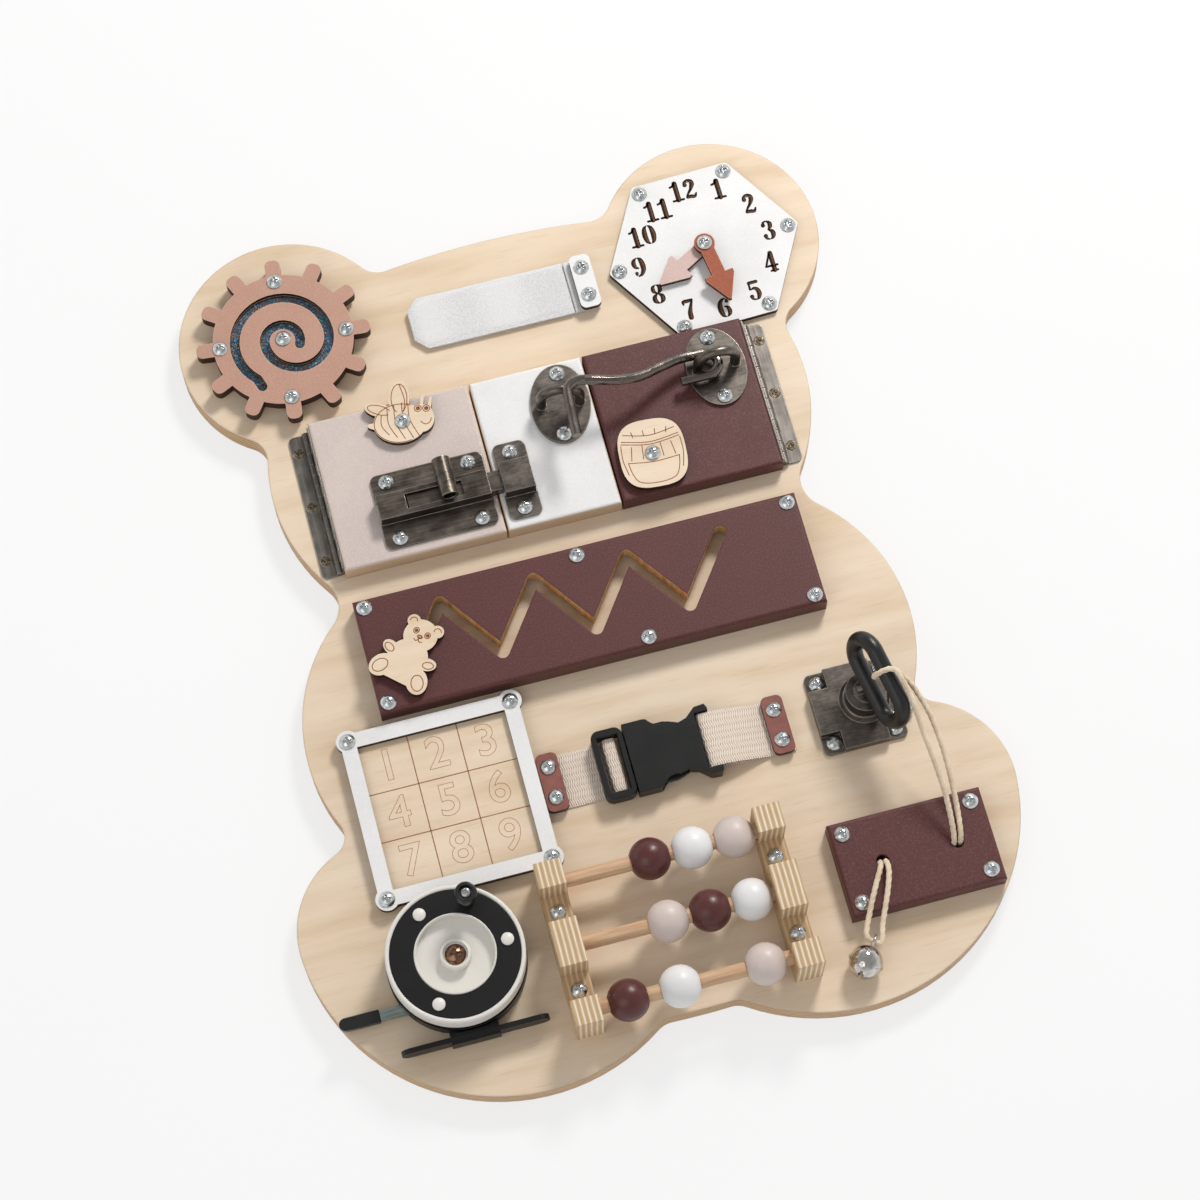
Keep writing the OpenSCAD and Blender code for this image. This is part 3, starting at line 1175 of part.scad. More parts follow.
module reel_spool() {
    color("whitesmoke") translate([reel_c[0], reel_c[1], 0]) {
        difference() {
            rotate_extrude($fn = 120) spool_profile();
            for (a = stud_angles) rotate(a) translate([stud_r, 0, spool_z + 3]) cylinder(r = 1.25, h = 30);
            rotate(knob_a) translate([knob_orbit, 0, spool_z + 3]) cylinder(r = 1.55, h = 30);
        }
        for (a = stud_angles) rotate(a) translate([stud_r, 0, ring_z + ring_t]) {
            intersection() {
                cylinder(r = 3, h = 1.6);
                translate([0, 0, -3.4]) sphere(5);
            }
            translate([0, 0, -ring_t - flange_t + 0.2]) cylinder(r = 1.2, h = ring_t + flange_t);
        }
    }
}
module reel_ring() {
    color("black") translate([reel_c[0], reel_c[1], ring_z]) difference() {
        cylinder(r = spool_r - rim_t - 0.1, h = ring_t, $fn = 120);
        translate([0, 0, -cut]) cylinder(r = dish_r + 1, h = ring_t + 2 * cut, $fn = 96);
        for (a = stud_angles) rotate(a) translate([stud_r, 0, -cut]) cylinder(r = 1.25, h = 10);
        rotate(knob_a) translate([knob_orbit, 0, -cut]) cylinder(r = 1.55, h = 10);
    }
}
knob_h = 17;
knob_z = ring_z + ring_t + 0.4;
module reel_knob() {
    translate([reel_c[0], reel_c[1], knob_z]) rotate(knob_a) translate([knob_orbit, 0, 0]) {
        color("black") rotate_extrude() polygon([[1.6, 0], [3.4, 0], [3, 3], [3.6, 7], [4.9, 11], [5.3, 14.5], [4.9, 16.6],
                                                 [4.4, knob_h], [3.2, knob_h], [3.2, knob_h - 1.9], [1.6, knob_h - 1.9]]);
        color("silver") translate([0, 0, knob_h - 1.6])
            screw(knob_h - 1.6 + knob_z - ring_z + flange_t - 0.2, 5.6, 1.8, 1.5);
    }
}

// ---------------------------------------------------------------- assembly
board();
board_screws();
clock_face();
fastener_strip();
strap_clamps();
centre_block();
hinge_board_leaves();
latch_catches();
zigzag_panel();
number_frame();
number_sheet();
webbing_left();
webbing_right();
lock_case();
cord_plate();
abacus_frame();
reel_frame();
bell_cord();
bell();
key_cord();
gear_front();
gear_back();
gear_window();
gear_beads();
gear_screws();
hour_hand();
minute_hand();
strap_flap();
left_door();
left_door_leaf();
bolt_housing();
left_door_screws();
bee();
slide_bolt();
right_door();
right_door_leaf();
hook_plate();
right_door_screws();
barrel();
hook_rod();
teddy_slider();
reel_spool();
reel_ring();
reel_knob();
reel_lever();
row_1_maroon();
row_1_white();
row_1_pink();
row_2_maroon();
row_2_white();
row_2_pink();
row_3_maroon();
row_3_white();
row_3_pink();
buckle_male();
buckle_female();
prong_upper();
prong_lower();
key();
lock_bolt();
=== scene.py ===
"""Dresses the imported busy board: finishes, engraving, webbing, tape, cords, light and camera.

Everything is in metres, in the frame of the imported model: the board lies on its back,
+Z is out of its front and +Y is towards the ears. Plans are drawn in millimetres and scaled by MM.
"""
import math
import random

import bpy
from mathutils import Matrix, Vector


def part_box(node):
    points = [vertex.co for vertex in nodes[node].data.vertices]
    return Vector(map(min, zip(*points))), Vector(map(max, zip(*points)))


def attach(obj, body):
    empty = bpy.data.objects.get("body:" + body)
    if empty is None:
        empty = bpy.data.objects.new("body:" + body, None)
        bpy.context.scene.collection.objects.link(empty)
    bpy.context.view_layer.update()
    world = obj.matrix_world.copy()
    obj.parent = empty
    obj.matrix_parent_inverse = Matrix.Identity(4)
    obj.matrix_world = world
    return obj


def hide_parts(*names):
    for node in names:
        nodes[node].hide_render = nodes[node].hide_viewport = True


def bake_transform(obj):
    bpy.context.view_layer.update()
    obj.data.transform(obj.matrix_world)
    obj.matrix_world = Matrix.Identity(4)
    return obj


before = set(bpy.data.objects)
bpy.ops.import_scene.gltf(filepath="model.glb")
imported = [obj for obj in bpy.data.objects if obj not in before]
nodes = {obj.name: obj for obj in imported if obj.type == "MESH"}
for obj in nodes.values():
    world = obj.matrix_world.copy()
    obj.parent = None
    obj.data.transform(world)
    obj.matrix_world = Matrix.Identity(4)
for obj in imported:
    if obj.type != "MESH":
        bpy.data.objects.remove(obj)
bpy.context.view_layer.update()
MM = 0.001


# ---- camera and light
def link(thing):
    bpy.context.scene.collection.objects.link(thing)


def make_camera():
    """The viewpoint of the photograph: high over the feet, turned and tilted a little."""
    place = Vector((-0.1290, -0.5338, 1.5374))
    right = Vector((0.96948, -0.24519, 0.0))
    back = Vector((-0.08324, -0.32913, 0.94061))
    up = back.cross(right)
    roll = math.radians(0.739)
    turned_right = right * math.cos(roll) - up * math.sin(roll)
    turned_up = right * math.sin(roll) + up * math.cos(roll)
    camera = bpy.data.objects.new("camera", bpy.data.cameras.new("camera"))
    link(camera)
    camera.data.sensor_width = 36
    camera.data.lens = 100.9
    turn = Matrix((turned_right, turned_up, back)).transposed()
    camera.matrix_world = Matrix.Translation(place) @ turn.to_4x4()
    bpy.context.scene.camera = camera


def area_light(name, place, size, power, tint):
    """A round lamp that points at the origin."""
    data = bpy.data.lights.new(name, "AREA")
    data.shape = "DISK"
    data.size = size
    data.energy = power
    data.color = tint
    lamp = bpy.data.objects.new(name, data)
    link(lamp)
    lamp.location = place
    lamp.rotation_euler = (-Vector(place)).to_track_quat("-Z", "Y").to_euler()


def make_light():
    area_light("key_light", (0.75, 0.95, 1.15), 0.42, 19, (1.0, 0.985, 0.96))
    area_light("fill_light", (-0.9, -0.7, 1.3), 1.2, 4.2, (0.97, 0.985, 1.0))
    world = bpy.data.worlds.new("studio")
    world.use_nodes = True
    tree = world.node_tree
    tree.nodes.clear()
    out = tree.nodes.new("ShaderNodeOutputWorld")
    room = tree.nodes.new("ShaderNodeBackground")
    way = tree.nodes.new("ShaderNodeSeparateXYZ")
    height = tree.nodes.new("ShaderNodeMapRange")
    ramp = tree.nodes.new("ShaderNodeValToRGB")
    tree.links.new(tree.nodes.new("ShaderNodeTexCoord").outputs["Generated"], way.inputs[0])
    tree.links.new(way.outputs["Z"], height.inputs["Value"])
    height.inputs["From Min"].default_value = -1
    # Pale round the horizon, darker overhead, as in a studio with white walls
    greys = ((0.0, 0.95), (0.5, 0.93), (0.6, 0.88), (0.76, 0.5), (1.0, 0.4))
    while len(ramp.color_ramp.elements) < len(greys):
        ramp.color_ramp.elements.new(0.5)
    for element, (place, grey) in zip(ramp.color_ramp.elements, greys):
        element.position = place
        element.color = (grey * 0.99, grey * 0.995, grey, 1)
    tree.links.new(height.outputs[0], ramp.inputs[0])
    tree.links.new(ramp.outputs["Color"], room.inputs["Color"])
    tree.links.new(room.outputs[0], out.inputs["Surface"])
    bpy.context.scene.world = world


# ---- material building
def srgb(red, green, blue):
    """A colour read in 0 to 255 steps, as the linear values that a shader takes."""
    def linear(value):
        value /= 255
        return value / 12.92 if value <= 0.04045 else ((value + 0.055) / 1.055) ** 2.4
    return (linear(red), linear(green), linear(blue), 1.0)


def toned(color, gain, lift=0.0):
    """The colour made lighter or darker, no brighter than white."""
    return tuple(min(1.0, c * gain + lift) for c in color[:3]) + (1.0,)


class Graph:
    """A material whose nodes are added one call at a time, with values or links as inputs."""

    def __init__(self, name):
        self.material = bpy.data.materials.new(name)
        self.material.use_nodes = True
        self.tree = self.material.node_tree
        self.tree.nodes.clear()
        self.place = self.add("ShaderNodeTexCoord").outputs["Object"]

    def add(self, kind, inputs=None, **settings):
        node = self.tree.nodes.new(kind)
        for key, value in settings.items():
            setattr(node, key, value)
        for key, value in (inputs or {}).items():
            if isinstance(value, bpy.types.NodeSocket):
                self.tree.links.new(value, node.inputs[key])
            else:
                node.inputs[key].default_value = value
        return node

    def math(self, operation, a, b=0.0, c=0.0):
        node = self.add("ShaderNodeMath", {0: a, 1: b, 2: c}, operation=operation)
        return node.outputs[0]

    def times(self, a, b):
        return self.math("MULTIPLY", a, b)

    def under(self, a, b):
        """1 where a is less than b."""
        return self.math("LESS_THAN", a, b)

    def over(self, a, b):
        """1 where a is more than b."""
        return self.math("GREATER_THAN", a, b)

    def size_of(self, a):
        return self.math("ABSOLUTE", a)

    def wave(self, phase):
        """0 at every multiple of pi, 1 half way between."""
        return self.size_of(self.math("SINE", phase))

    def scaled(self, x, y, z, place=None):
        node = self.add("ShaderNodeMapping", {"Vector": place or self.place, "Scale": (x, y, z)})
        return node.outputs["Vector"]

    def noise(self, size, detail=3.0, rough=0.5, place=None, stretch=(1, 1, 1)):
        """Cloudy variation whose blobs are about `size` metres wide."""
        scale = 1 / size
        vector = self.scaled(scale * stretch[0], scale * stretch[1], scale * stretch[2], place)
        inputs = {"Vector": vector, "Scale": 1.0, "Detail": detail, "Roughness": rough}
        return self.add("ShaderNodeTexNoise", inputs).outputs["Fac"]

    def ramp(self, factor, *stops):
        """Colours or greys along a 0 to 1 factor: each stop is (position, value)."""
        node = self.add("ShaderNodeValToRGB", {"Fac": factor})
        ramp = node.color_ramp
        while len(ramp.elements) < len(stops):
            ramp.elements.new(0.5)
        for element, (position, value) in zip(ramp.elements, stops):
            element.position = position
            element.color = value if isinstance(value, tuple) else (value, value, value, 1)
        return node.outputs["Color"]

    def mix(self, factor, a, b, blend="MIX"):
        node = self.add("ShaderNodeMix", data_type="RGBA", blend_type=blend)
        for index, value in ((0, factor), (6, a), (7, b)):
            if isinstance(value, bpy.types.NodeSocket):
                self.tree.links.new(value, node.inputs[index])
            else:
                node.inputs[index].default_value = value
        return node.outputs[2]

    def axis(self, which, source=None):
        node = self.add("ShaderNodeSeparateXYZ", {0: source or self.place})
        return node.outputs[which]

    def distance(self, place, point):
        node = self.add("ShaderNodeVectorMath", {0: place, 1: point}, operation="DISTANCE")
        return node.outputs["Value"]

    def edges(self, radius):
        """1 on sharp outer edges, 0 on flats: how far a rounded normal leans from the true one."""
        soft = self.add("ShaderNodeBevel", {"Radius": radius}, samples=4).outputs["Normal"]
        true = self.add("ShaderNodeNewGeometry").outputs["Normal"]
        lean = self.add("ShaderNodeVectorMath", {0: soft, 1: true}, operation="DOT_PRODUCT")
        return self.ramp(lean.outputs["Value"], (0.72, 1.0), (0.985, 0.0))

    def bump(self, height, strength, distance, normal=None):
        inputs = {"Height": height, "Strength": strength, "Distance": distance}
        if normal:
            inputs["Normal"] = normal
        return self.add("ShaderNodeBump", inputs).outputs["Normal"]

    def round_edges(self, radius):
        return self.add("ShaderNodeBevel", {"Radius": radius}, samples=4).outputs["Normal"]

    def finish(self, color, roughness, normal=None, specular=0.5, **sockets):
        inputs = {"Base Color": color, "Roughness": roughness, "Specular IOR Level": specular}
        if normal:
            inputs["Normal"] = normal
        inputs.update({key.replace("_", " "): value for key, value in sockets.items()})
        shader = self.add("ShaderNodeBsdfPrincipled", inputs)
        out = self.add("ShaderNodeOutputMaterial")
        self.tree.links.new(shader.outputs[0], out.inputs["Surface"])
        return self.material


# ---- wood
BIRCH = srgb(227, 206, 180)
BIRCH_LIGHT = srgb(234, 215, 191)
BIRCH_DARK = srgb(214, 188, 156)
PLY_TAN = srgb(186, 148, 104)
PLY_BROWN = srgb(140, 100, 62)
BURNT = srgb(46, 26, 18)
SCORCH = srgb(160, 96, 54)


def birch_grain(graph, along=(0.14, 1.0, 1.0)):
    """Veneer colour: long soft streaks, fine fibres and short dark pores along the grain."""
    streaks = graph.noise(0.012, 4.0, 0.55, stretch=along)
    fibres = graph.noise(0.0009, 3.0, 0.6, stretch=(along[0] * 0.4, 1, 1))
    clouds = graph.noise(0.09, 2.0, 0.5, stretch=(0.5, 1, 1))
    wood = graph.ramp(streaks, (0.28, BIRCH_DARK), (0.5, BIRCH), (0.72, BIRCH_LIGHT))
    wood = graph.mix(0.15, wood, graph.ramp(clouds, (0.35, BIRCH_DARK), (0.65, BIRCH_LIGHT)))
    pores = graph.ramp(fibres, (0.30, 1.0), (0.40, 0.0))
    wood = graph.mix(graph.times(pores, 0.22), wood, PLY_TAN)
    return wood, fibres


def layered_edge(graph, height, layers):
    """Plywood seen on edge: thin layers across a height, light and dark in turn."""
    phase = graph.times(graph.axis("Z"), layers / height * math.pi)
    wave = graph.wave(phase)
    fuzz = graph.noise(0.002, 3.0, 0.6, stretch=(0.3, 0.3, 1))
    wave = graph.math("MULTIPLY_ADD", fuzz, 0.5, graph.times(wave, 0.6))
    return graph.ramp(wave, (0.25, PLY_BROWN), (0.55, PLY_TAN), (0.9, srgb(212, 178, 134)))


def facing_up(graph):
    """1 where the surface faces +Z or -Z, 0 on the sides."""
    steep = graph.size_of(graph.axis("Z", graph.add("ShaderNodeTexCoord").outputs["Normal"]))
    return graph.ramp(steep, (0.55, 0.0), (0.8, 1.0))


def board_ply():
    """The bear itself: bare veneer on its face and nine thin layers round its edge."""
    thickness, layer_pairs = 0.012, 4.5
    graph = Graph("board_ply")
    wood, fibres = birch_grain(graph)
    side = layered_edge(graph, thickness, layer_pairs)
    color = graph.mix(facing_up(graph), side, wood)
    shade = graph.noise(0.02, 2.0, 0.5)
    rough = graph.math("MULTIPLY_ADD", shade, 0.2, 0.42)
    normal = graph.bump(fibres, 0.12, 0.0004, graph.round_edges(0.0014))
    return graph.finish(color, rough, normal, specular=0.35)


def thin_ply(name, top=None, speck=0.3):
    """Laser-cut 3 mm plywood: painted or bare on its face, burnt dark on its cut sides."""
    graph = Graph(name)
    wood, fibres = birch_grain(graph, (0.2, 1.0, 1.0))
    if top:
        wood = painted(graph, top, speck)
    rim = graph.edges(0.0007)
    light_rim = graph.mix(graph.times(rim, 0.5), wood, BIRCH_LIGHT)
    color = graph.mix(facing_up(graph), BURNT, light_rim)
    normal = graph.bump(fibres, 0.15, 0.0003, graph.round_edges(0.0003))
    return graph.finish(color, 0.55, normal, specular=0.3)


def clamp_ply():
    """The strap's clamp is white, and those of the webbing are rust with a cloudy tone."""
    strap_from_y = 0.05
    graph = Graph("clamp_ply")
    cloud = graph.ramp(graph.noise(0.006, 3.0, 0.6), (0.3, srgb(112, 66, 62)), (0.7, CLAMP_RUST))
    upper = graph.over(graph.axis("Y"), strap_from_y)
    face = graph.mix(upper, painted(graph, CLAMP_RUST, 0.4), painted(graph, WHITE, 0.2))
    face = graph.mix(graph.times(graph.math("SUBTRACT", 1.0, upper), 0.6), face, cloud)
    color = graph.mix(facing_up(graph), BURNT, face)
    return graph.finish(color, 0.5, paint_skin(graph, 0.2, 0.0005), specular=0.3)


def paint_skin(graph, strength=0.22, radius=0.0009):
    """The fine grain of sprayed paint over softened edges."""
    texture = graph.noise(0.0006, 2.0, 0.6)
    return graph.bump(texture, strength, 0.0003, graph.round_edges(radius))


def painted(graph, color, speck):
    """Sprayed paint: slightly blotchy, with fine light and dark specks."""
    dark, light = toned(color, 0.82), toned(color, 1.35, 0.02)
    blotch = graph.noise(0.03, 3.0, 0.55)
    grain = graph.noise(0.0008, 2.0, 0.75)
    base = graph.mix(graph.ramp(blotch, (0.35, 0.0), (0.7, 1.0)), color, dark)
    base = graph.mix(0.5, base, color)
    specks = graph.ramp(grain, (0.5, 0.0), (0.64, 1.0))
    return graph.mix(graph.times(specks, speck), base, light)


def paint(name, color, side="paint", speck=0.35, edge_wear_and_highlight=0.35, rough=0.5):
    """Painted block or panel whose sides are painted too, or bare plywood."""
    door_thickness, layer_pairs = 0.010, 4
    graph = Graph(name)
    face = painted(graph, color, speck)
    # Lighter along the edges: partly worn paint, partly a painted highlight on the rounded edges
    worn = toned(color, 1.35, 0.05)
    face = graph.mix(graph.times(graph.edges(0.0009), edge_wear_and_highlight), face, worn)
    if side == "wood":
        bare = graph.mix(0.55, layered_edge(graph, door_thickness, layer_pairs), BIRCH)
        face = graph.mix(facing_up(graph), bare, face)
    gloss = graph.math("MULTIPLY_ADD", graph.noise(0.01), 0.2, rough - 0.1)
    return graph.finish(face, gloss, paint_skin(graph), specular=0.4)


def zigzag_paint(name, color):
    """The slotted panel: painted outside, bare routed wood down the slot's walls."""
    slot_reach_x, slot_middle_y, slot_reach_y = 0.106, -0.0036, 0.026
    graph = Graph(name)
    face = painted(graph, color, 0.7)
    inside_x = graph.under(graph.size_of(graph.axis("X")), slot_reach_x)
    offset = graph.size_of(graph.math("ADD", graph.axis("Y"), -slot_middle_y))
    inside = graph.times(inside_x, graph.under(offset, slot_reach_y))
    side = graph.math("SUBTRACT", 1.0, facing_up(graph))
    wall = graph.noise(0.004, 3.0, 0.6, stretch=(1, 1, 0.2))
    bare = graph.ramp(wall, (0.3, srgb(176, 126, 74)), (0.55, srgb(205, 164, 112)),
                      (0.8, srgb(222, 192, 150)))
    color = graph.mix(graph.times(inside, side), face, bare)
    return graph.finish(color, 0.48, paint_skin(graph), specular=0.4)


def rail_ply():
    """Plywood standing on edge, with painted shade on the floors of the milled notches, and plain dowels
    between the rails.
    """
    layer = 0.0026
    notch_floor = 0.0225
    middle_x, half_gap = -0.0007, 0.0457
    graph = Graph("rail_ply")
    wobble = graph.times(graph.noise(0.02, 3.0, 0.5), 0.0007)
    phase = graph.times(graph.math("ADD", graph.axis("X"), wobble), math.pi / layer)
    stripe = graph.wave(phase)
    fibre = graph.noise(0.0008, 3.0, 0.6, stretch=(1, 0.12, 0.12))
    stripe = graph.math("MULTIPLY_ADD", fibre, 0.35, graph.times(stripe, 0.75))
    layers = graph.ramp(stripe, (0.18, srgb(244, 236, 222)), (0.42, srgb(220, 198, 164)),
                        (0.95, srgb(186, 154, 116)))
    # Painted shade: the upward floors below the notch line are darkened towards tan
    notch = graph.under(graph.axis("Z"), notch_floor)
    notch = graph.times(notch, facing_up(graph))
    notch_shade = graph.mix(0.6, layers, srgb(176, 138, 92))
    color = graph.mix(graph.times(notch, 0.9), layers, notch_shade)
    away = graph.size_of(graph.math("ADD", graph.axis("X"), -middle_x))
    between = graph.under(away, half_gap)
    streak = graph.noise(0.0016, 4.0, 0.6, stretch=(0.06, 1, 1))
    dowel = graph.ramp(streak, (0.3, srgb(182, 142, 108)), (0.55, srgb(206, 170, 136)),
                       (0.8, srgb(220, 190, 158)))
    color = graph.mix(between, color, dowel)
    normal = graph.bump(fibre, 0.2, 0.0004, graph.round_edges(0.0006))
    return graph.finish(color, 0.5, normal, specular=0.3)


# ---- metal
def nickel(name, base, bright, rough=0.38, brush=(0.05, 1, 1), contrast=0.6, wear=0.75):
    """Antique nickel: dark in the flats, worn bright on the edges, brushed one way."""
    graph = Graph(name)
    lines = graph.noise(0.0012, 4.0, 0.65, stretch=brush)
    smudge = graph.noise(0.009, 3.0, 0.6)
    brushed = graph.times(lines, 0.55)
    mixed = graph.math("ADD", brushed, graph.times(smudge, 0.45))
    tone = graph.ramp(mixed, (0.36, base), (0.66, bright))
    color = graph.mix(contrast, base, tone)
    color = graph.mix(graph.times(graph.edges(0.0008), wear), color, srgb(206, 200, 190))
    gloss = graph.math("MULTIPLY_ADD", smudge, 0.24, rough - 0.12)
    normal = graph.bump(lines, 0.1, 0.0002, graph.round_edges(0.0005))
    return graph.finish(color, gloss, normal, Metallic=1.0)


def zinc():
    """Bright zinc screws; the reel's axle screw is brassy, and those of the board's hinge leaves aged."""
    axle_place, axle_reach = (-0.1042, -0.1572, 0.034), 0.0085
    leaf_from_x, leaf_middle_y, leaf_reach_y = 0.1135, 0.0822, 0.036
    graph = Graph("zinc_screws")
    spots = graph.noise(0.0016, 3.0, 0.6)
    color = graph.ramp(spots, (0.35, srgb(176, 180, 182)), (0.65, srgb(228, 231, 230)))
    axle = graph.under(graph.distance(graph.place, axle_place), axle_reach)
    brass = graph.ramp(spots, (0.35, srgb(96, 66, 52)), (0.65, srgb(160, 124, 100)))
    color = graph.mix(axle, color, brass)
    far = graph.over(graph.size_of(graph.axis("X")), leaf_from_x)
    high = graph.math("COMPARE", graph.axis("Y"), leaf_middle_y, leaf_reach_y)
    aged = graph.ramp(spots, (0.35, srgb(84, 74, 62)), (0.65, srgb(156, 140, 118)))
    color = graph.mix(graph.times(far, high), color, aged)
    normal = graph.bump(spots, 0.1, 0.0002, graph.round_edges(0.0003))
    return graph.finish(color, graph.math("MULTIPLY_ADD", spots, 0.2, 0.16), normal, Metallic=1.0)


def chrome():
    graph = Graph("bell_chrome")
    haze = graph.noise(0.003, 2.0, 0.5)
    color = graph.ramp(haze, (0.3, srgb(176, 172, 168)), (0.7, srgb(214, 210, 205)))
    gloss = graph.math("MULTIPLY_ADD", haze, 0.06, 0.04)
    return graph.finish(color, gloss, graph.round_edges(0.0003), Metallic=1.0)


# ---- plastic and film
def plastic(name, color, rough, grain=0.25):
    """Moulded plastic: fine spark-eroded grain, a little wear on the corners."""
    radius = 0.0006
    graph = Graph(name)
    spots = graph.noise(0.0005, 2.0, 0.6)
    smudge = graph.noise(0.012, 3.0, 0.5)
    light = toned(color, 1.5, 0.012)
    face = graph.mix(graph.times(graph.edges(radius), 0.35), color, light)
    specks = graph.ramp(spots, (0.55, 0.0), (0.75, 1.0))
    face = graph.mix(graph.times(specks, 0.25), face, light)
    normal = graph.bump(spots, grain, 0.0002, graph.round_edges(radius))
    gloss = graph.math("MULTIPLY_ADD", smudge, 0.16, rough - 0.08)
    return graph.finish(face, gloss, normal, specular=0.38)


def clear_film():
    graph = Graph("clear_film")
    ripple = graph.noise(0.006, 2.0, 0.5)
    normal = graph.bump(ripple, 0.05, 0.0002)
    return graph.finish((0.96, 0.98, 0.98, 1), 0.06, normal, Alpha=0.02, specular=0.2)


def glitter():
    """Tiny faceted beads, each with its own colour."""
    graph = Graph("glitter")
    seed = graph.add("ShaderNodeNewGeometry").outputs["Random Per Island"]
    color = graph.ramp(seed, (0.0, srgb(6, 74, 128)), (0.2, srgb(10, 150, 206)), (0.36, srgb(6, 40, 84)),
                       (0.5, srgb(70, 206, 232)), (0.64, srgb(8, 66, 112)), (0.76, srgb(214, 150, 84)),
                       (0.84, srgb(18, 120, 170)), (0.92, srgb(14, 30, 60)), (1.0, srgb(216, 240, 240)))
    return graph.finish(color, 0.4, specular=0.35)


# ---- cloth
def woven(name, light, dark, rows, columns):
    """Webbing: slanted ribs that change direction from column to column, as a herringbone."""
    graph = Graph(name)
    u = graph.times(graph.axis("X"), rows)
    v = graph.times(graph.axis("Y"), columns)
    fold = graph.math("PINGPONG", v, 1.0)
    slant = graph.math("ADD", u, graph.times(fold, 0.75))
    rib = graph.wave(graph.times(slant, math.pi))
    seam = graph.wave(graph.times(v, math.pi))
    yarn = graph.noise(0.0004, 2.0, 0.6)
    height = graph.math("MULTIPLY_ADD", seam, 0.25, graph.times(rib, 0.75))
    tone = graph.math("MULTIPLY_ADD", yarn, 0.3, graph.times(height, 0.8))
    color = graph.ramp(tone, (0.22, dark), (0.75, light))
    normal = graph.bump(height, 0.7, 0.0005)
    normal = graph.bump(yarn, 0.3, 0.0002, normal)
    return graph.finish(color, 0.85, normal, Sheen_Weight=0.25, specular=0.15)


def tape_cloth():
    """White touch-fastener tape: small raised loops in staggered rows, white on their tops with painted
    shade between them.
    """
    graph = Graph("tape_cloth")
    per_metre = 1 / 0.0014
    place = graph.scaled(per_metre, per_metre, per_metre)
    loops = graph.add("ShaderNodeTexVoronoi", {"Vector": place, "Randomness": 0.45}, feature="F1")
    height = graph.math("SUBTRACT", 1.0, loops.outputs["Distance"])
    fuzz = graph.noise(0.0003, 2.0, 0.7)
    # Painted shade: darker grey low between the loops, near white on their tops
    color = graph.ramp(height, (0.3, srgb(198, 197, 199)), (0.62, srgb(248, 247, 246)))
    normal = graph.bump(height, 0.55, 0.0005)
    normal = graph.bump(fuzz, 0.25, 0.0002, normal)
    return graph.finish(color, 0.8, normal, Sheen_Weight=0.2, specular=0.2)


def rope_cloth():
    graph = Graph("rope_cloth")
    yarn = graph.noise(0.0005, 3.0, 0.65)
    blotch = graph.noise(0.006, 2.0, 0.5)
    tone = graph.math("MULTIPLY_ADD", blotch, 0.4, graph.times(yarn, 0.6))
    color = graph.ramp(tone, (0.3, srgb(196, 170, 138)), (0.62, srgb(236, 220, 196)))
    normal = graph.bump(yarn, 0.5, 0.0003)
    return graph.finish(color, 0.9, normal, Sheen_Weight=0.2, specular=0.1)


def plain_wood(name, color):
    """Burnt or stained wood in one tone, for engraved lines and cut-through figures."""
    graph = Graph(name)
    fibre = graph.noise(0.0009, 3.0, 0.6, stretch=(0.2, 1, 1))
    tone = graph.ramp(fibre, (0.3, toned(color, 0.6)), (0.7, color))
    return graph.finish(tone, 0.75, graph.bump(fibre, 0.2, 0.0002), specular=0.2)


def floor_white():
    """A white floor that keeps a soft shadow, and looks white to the eye and in reflections."""
    graph = Graph("floor_white")
    soft = graph.noise(0.4, 2.0, 0.5)
    color = graph.ramp(soft, (0.3, (0.80, 0.80, 0.80, 1)), (0.7, (0.83, 0.83, 0.83, 1)))
    matt = graph.add("ShaderNodeBsdfDiffuse", {"Color": color})
    glow = graph.add("ShaderNodeEmission", {"Color": (1, 1, 1, 1), "Strength": 1.0})
    rays = graph.add("ShaderNodeLightPath")
    seen = graph.math("MAXIMUM", rays.outputs["Is Camera Ray"], rays.outputs["Is Glossy Ray"])
    seen = graph.math("MAXIMUM", seen, rays.outputs["Is Transmission Ray"])
    share = graph.times(seen, 0.72)
    mix = graph.add("ShaderNodeMixShader", {0: share, 1: matt.outputs[0], 2: glow.outputs[0]})
    out = graph.add("ShaderNodeOutputMaterial")
    graph.tree.links.new(mix.outputs[0], out.inputs["Surface"])
    return graph.material


WHITE = srgb(232, 231, 230)
MAROON = srgb(86, 44, 42)
PINK = srgb(207, 192, 185)
ROSE = srgb(187, 145, 127)
RUST = srgb(156, 82, 54)
CLAMP_RUST = srgb(146, 92, 82)


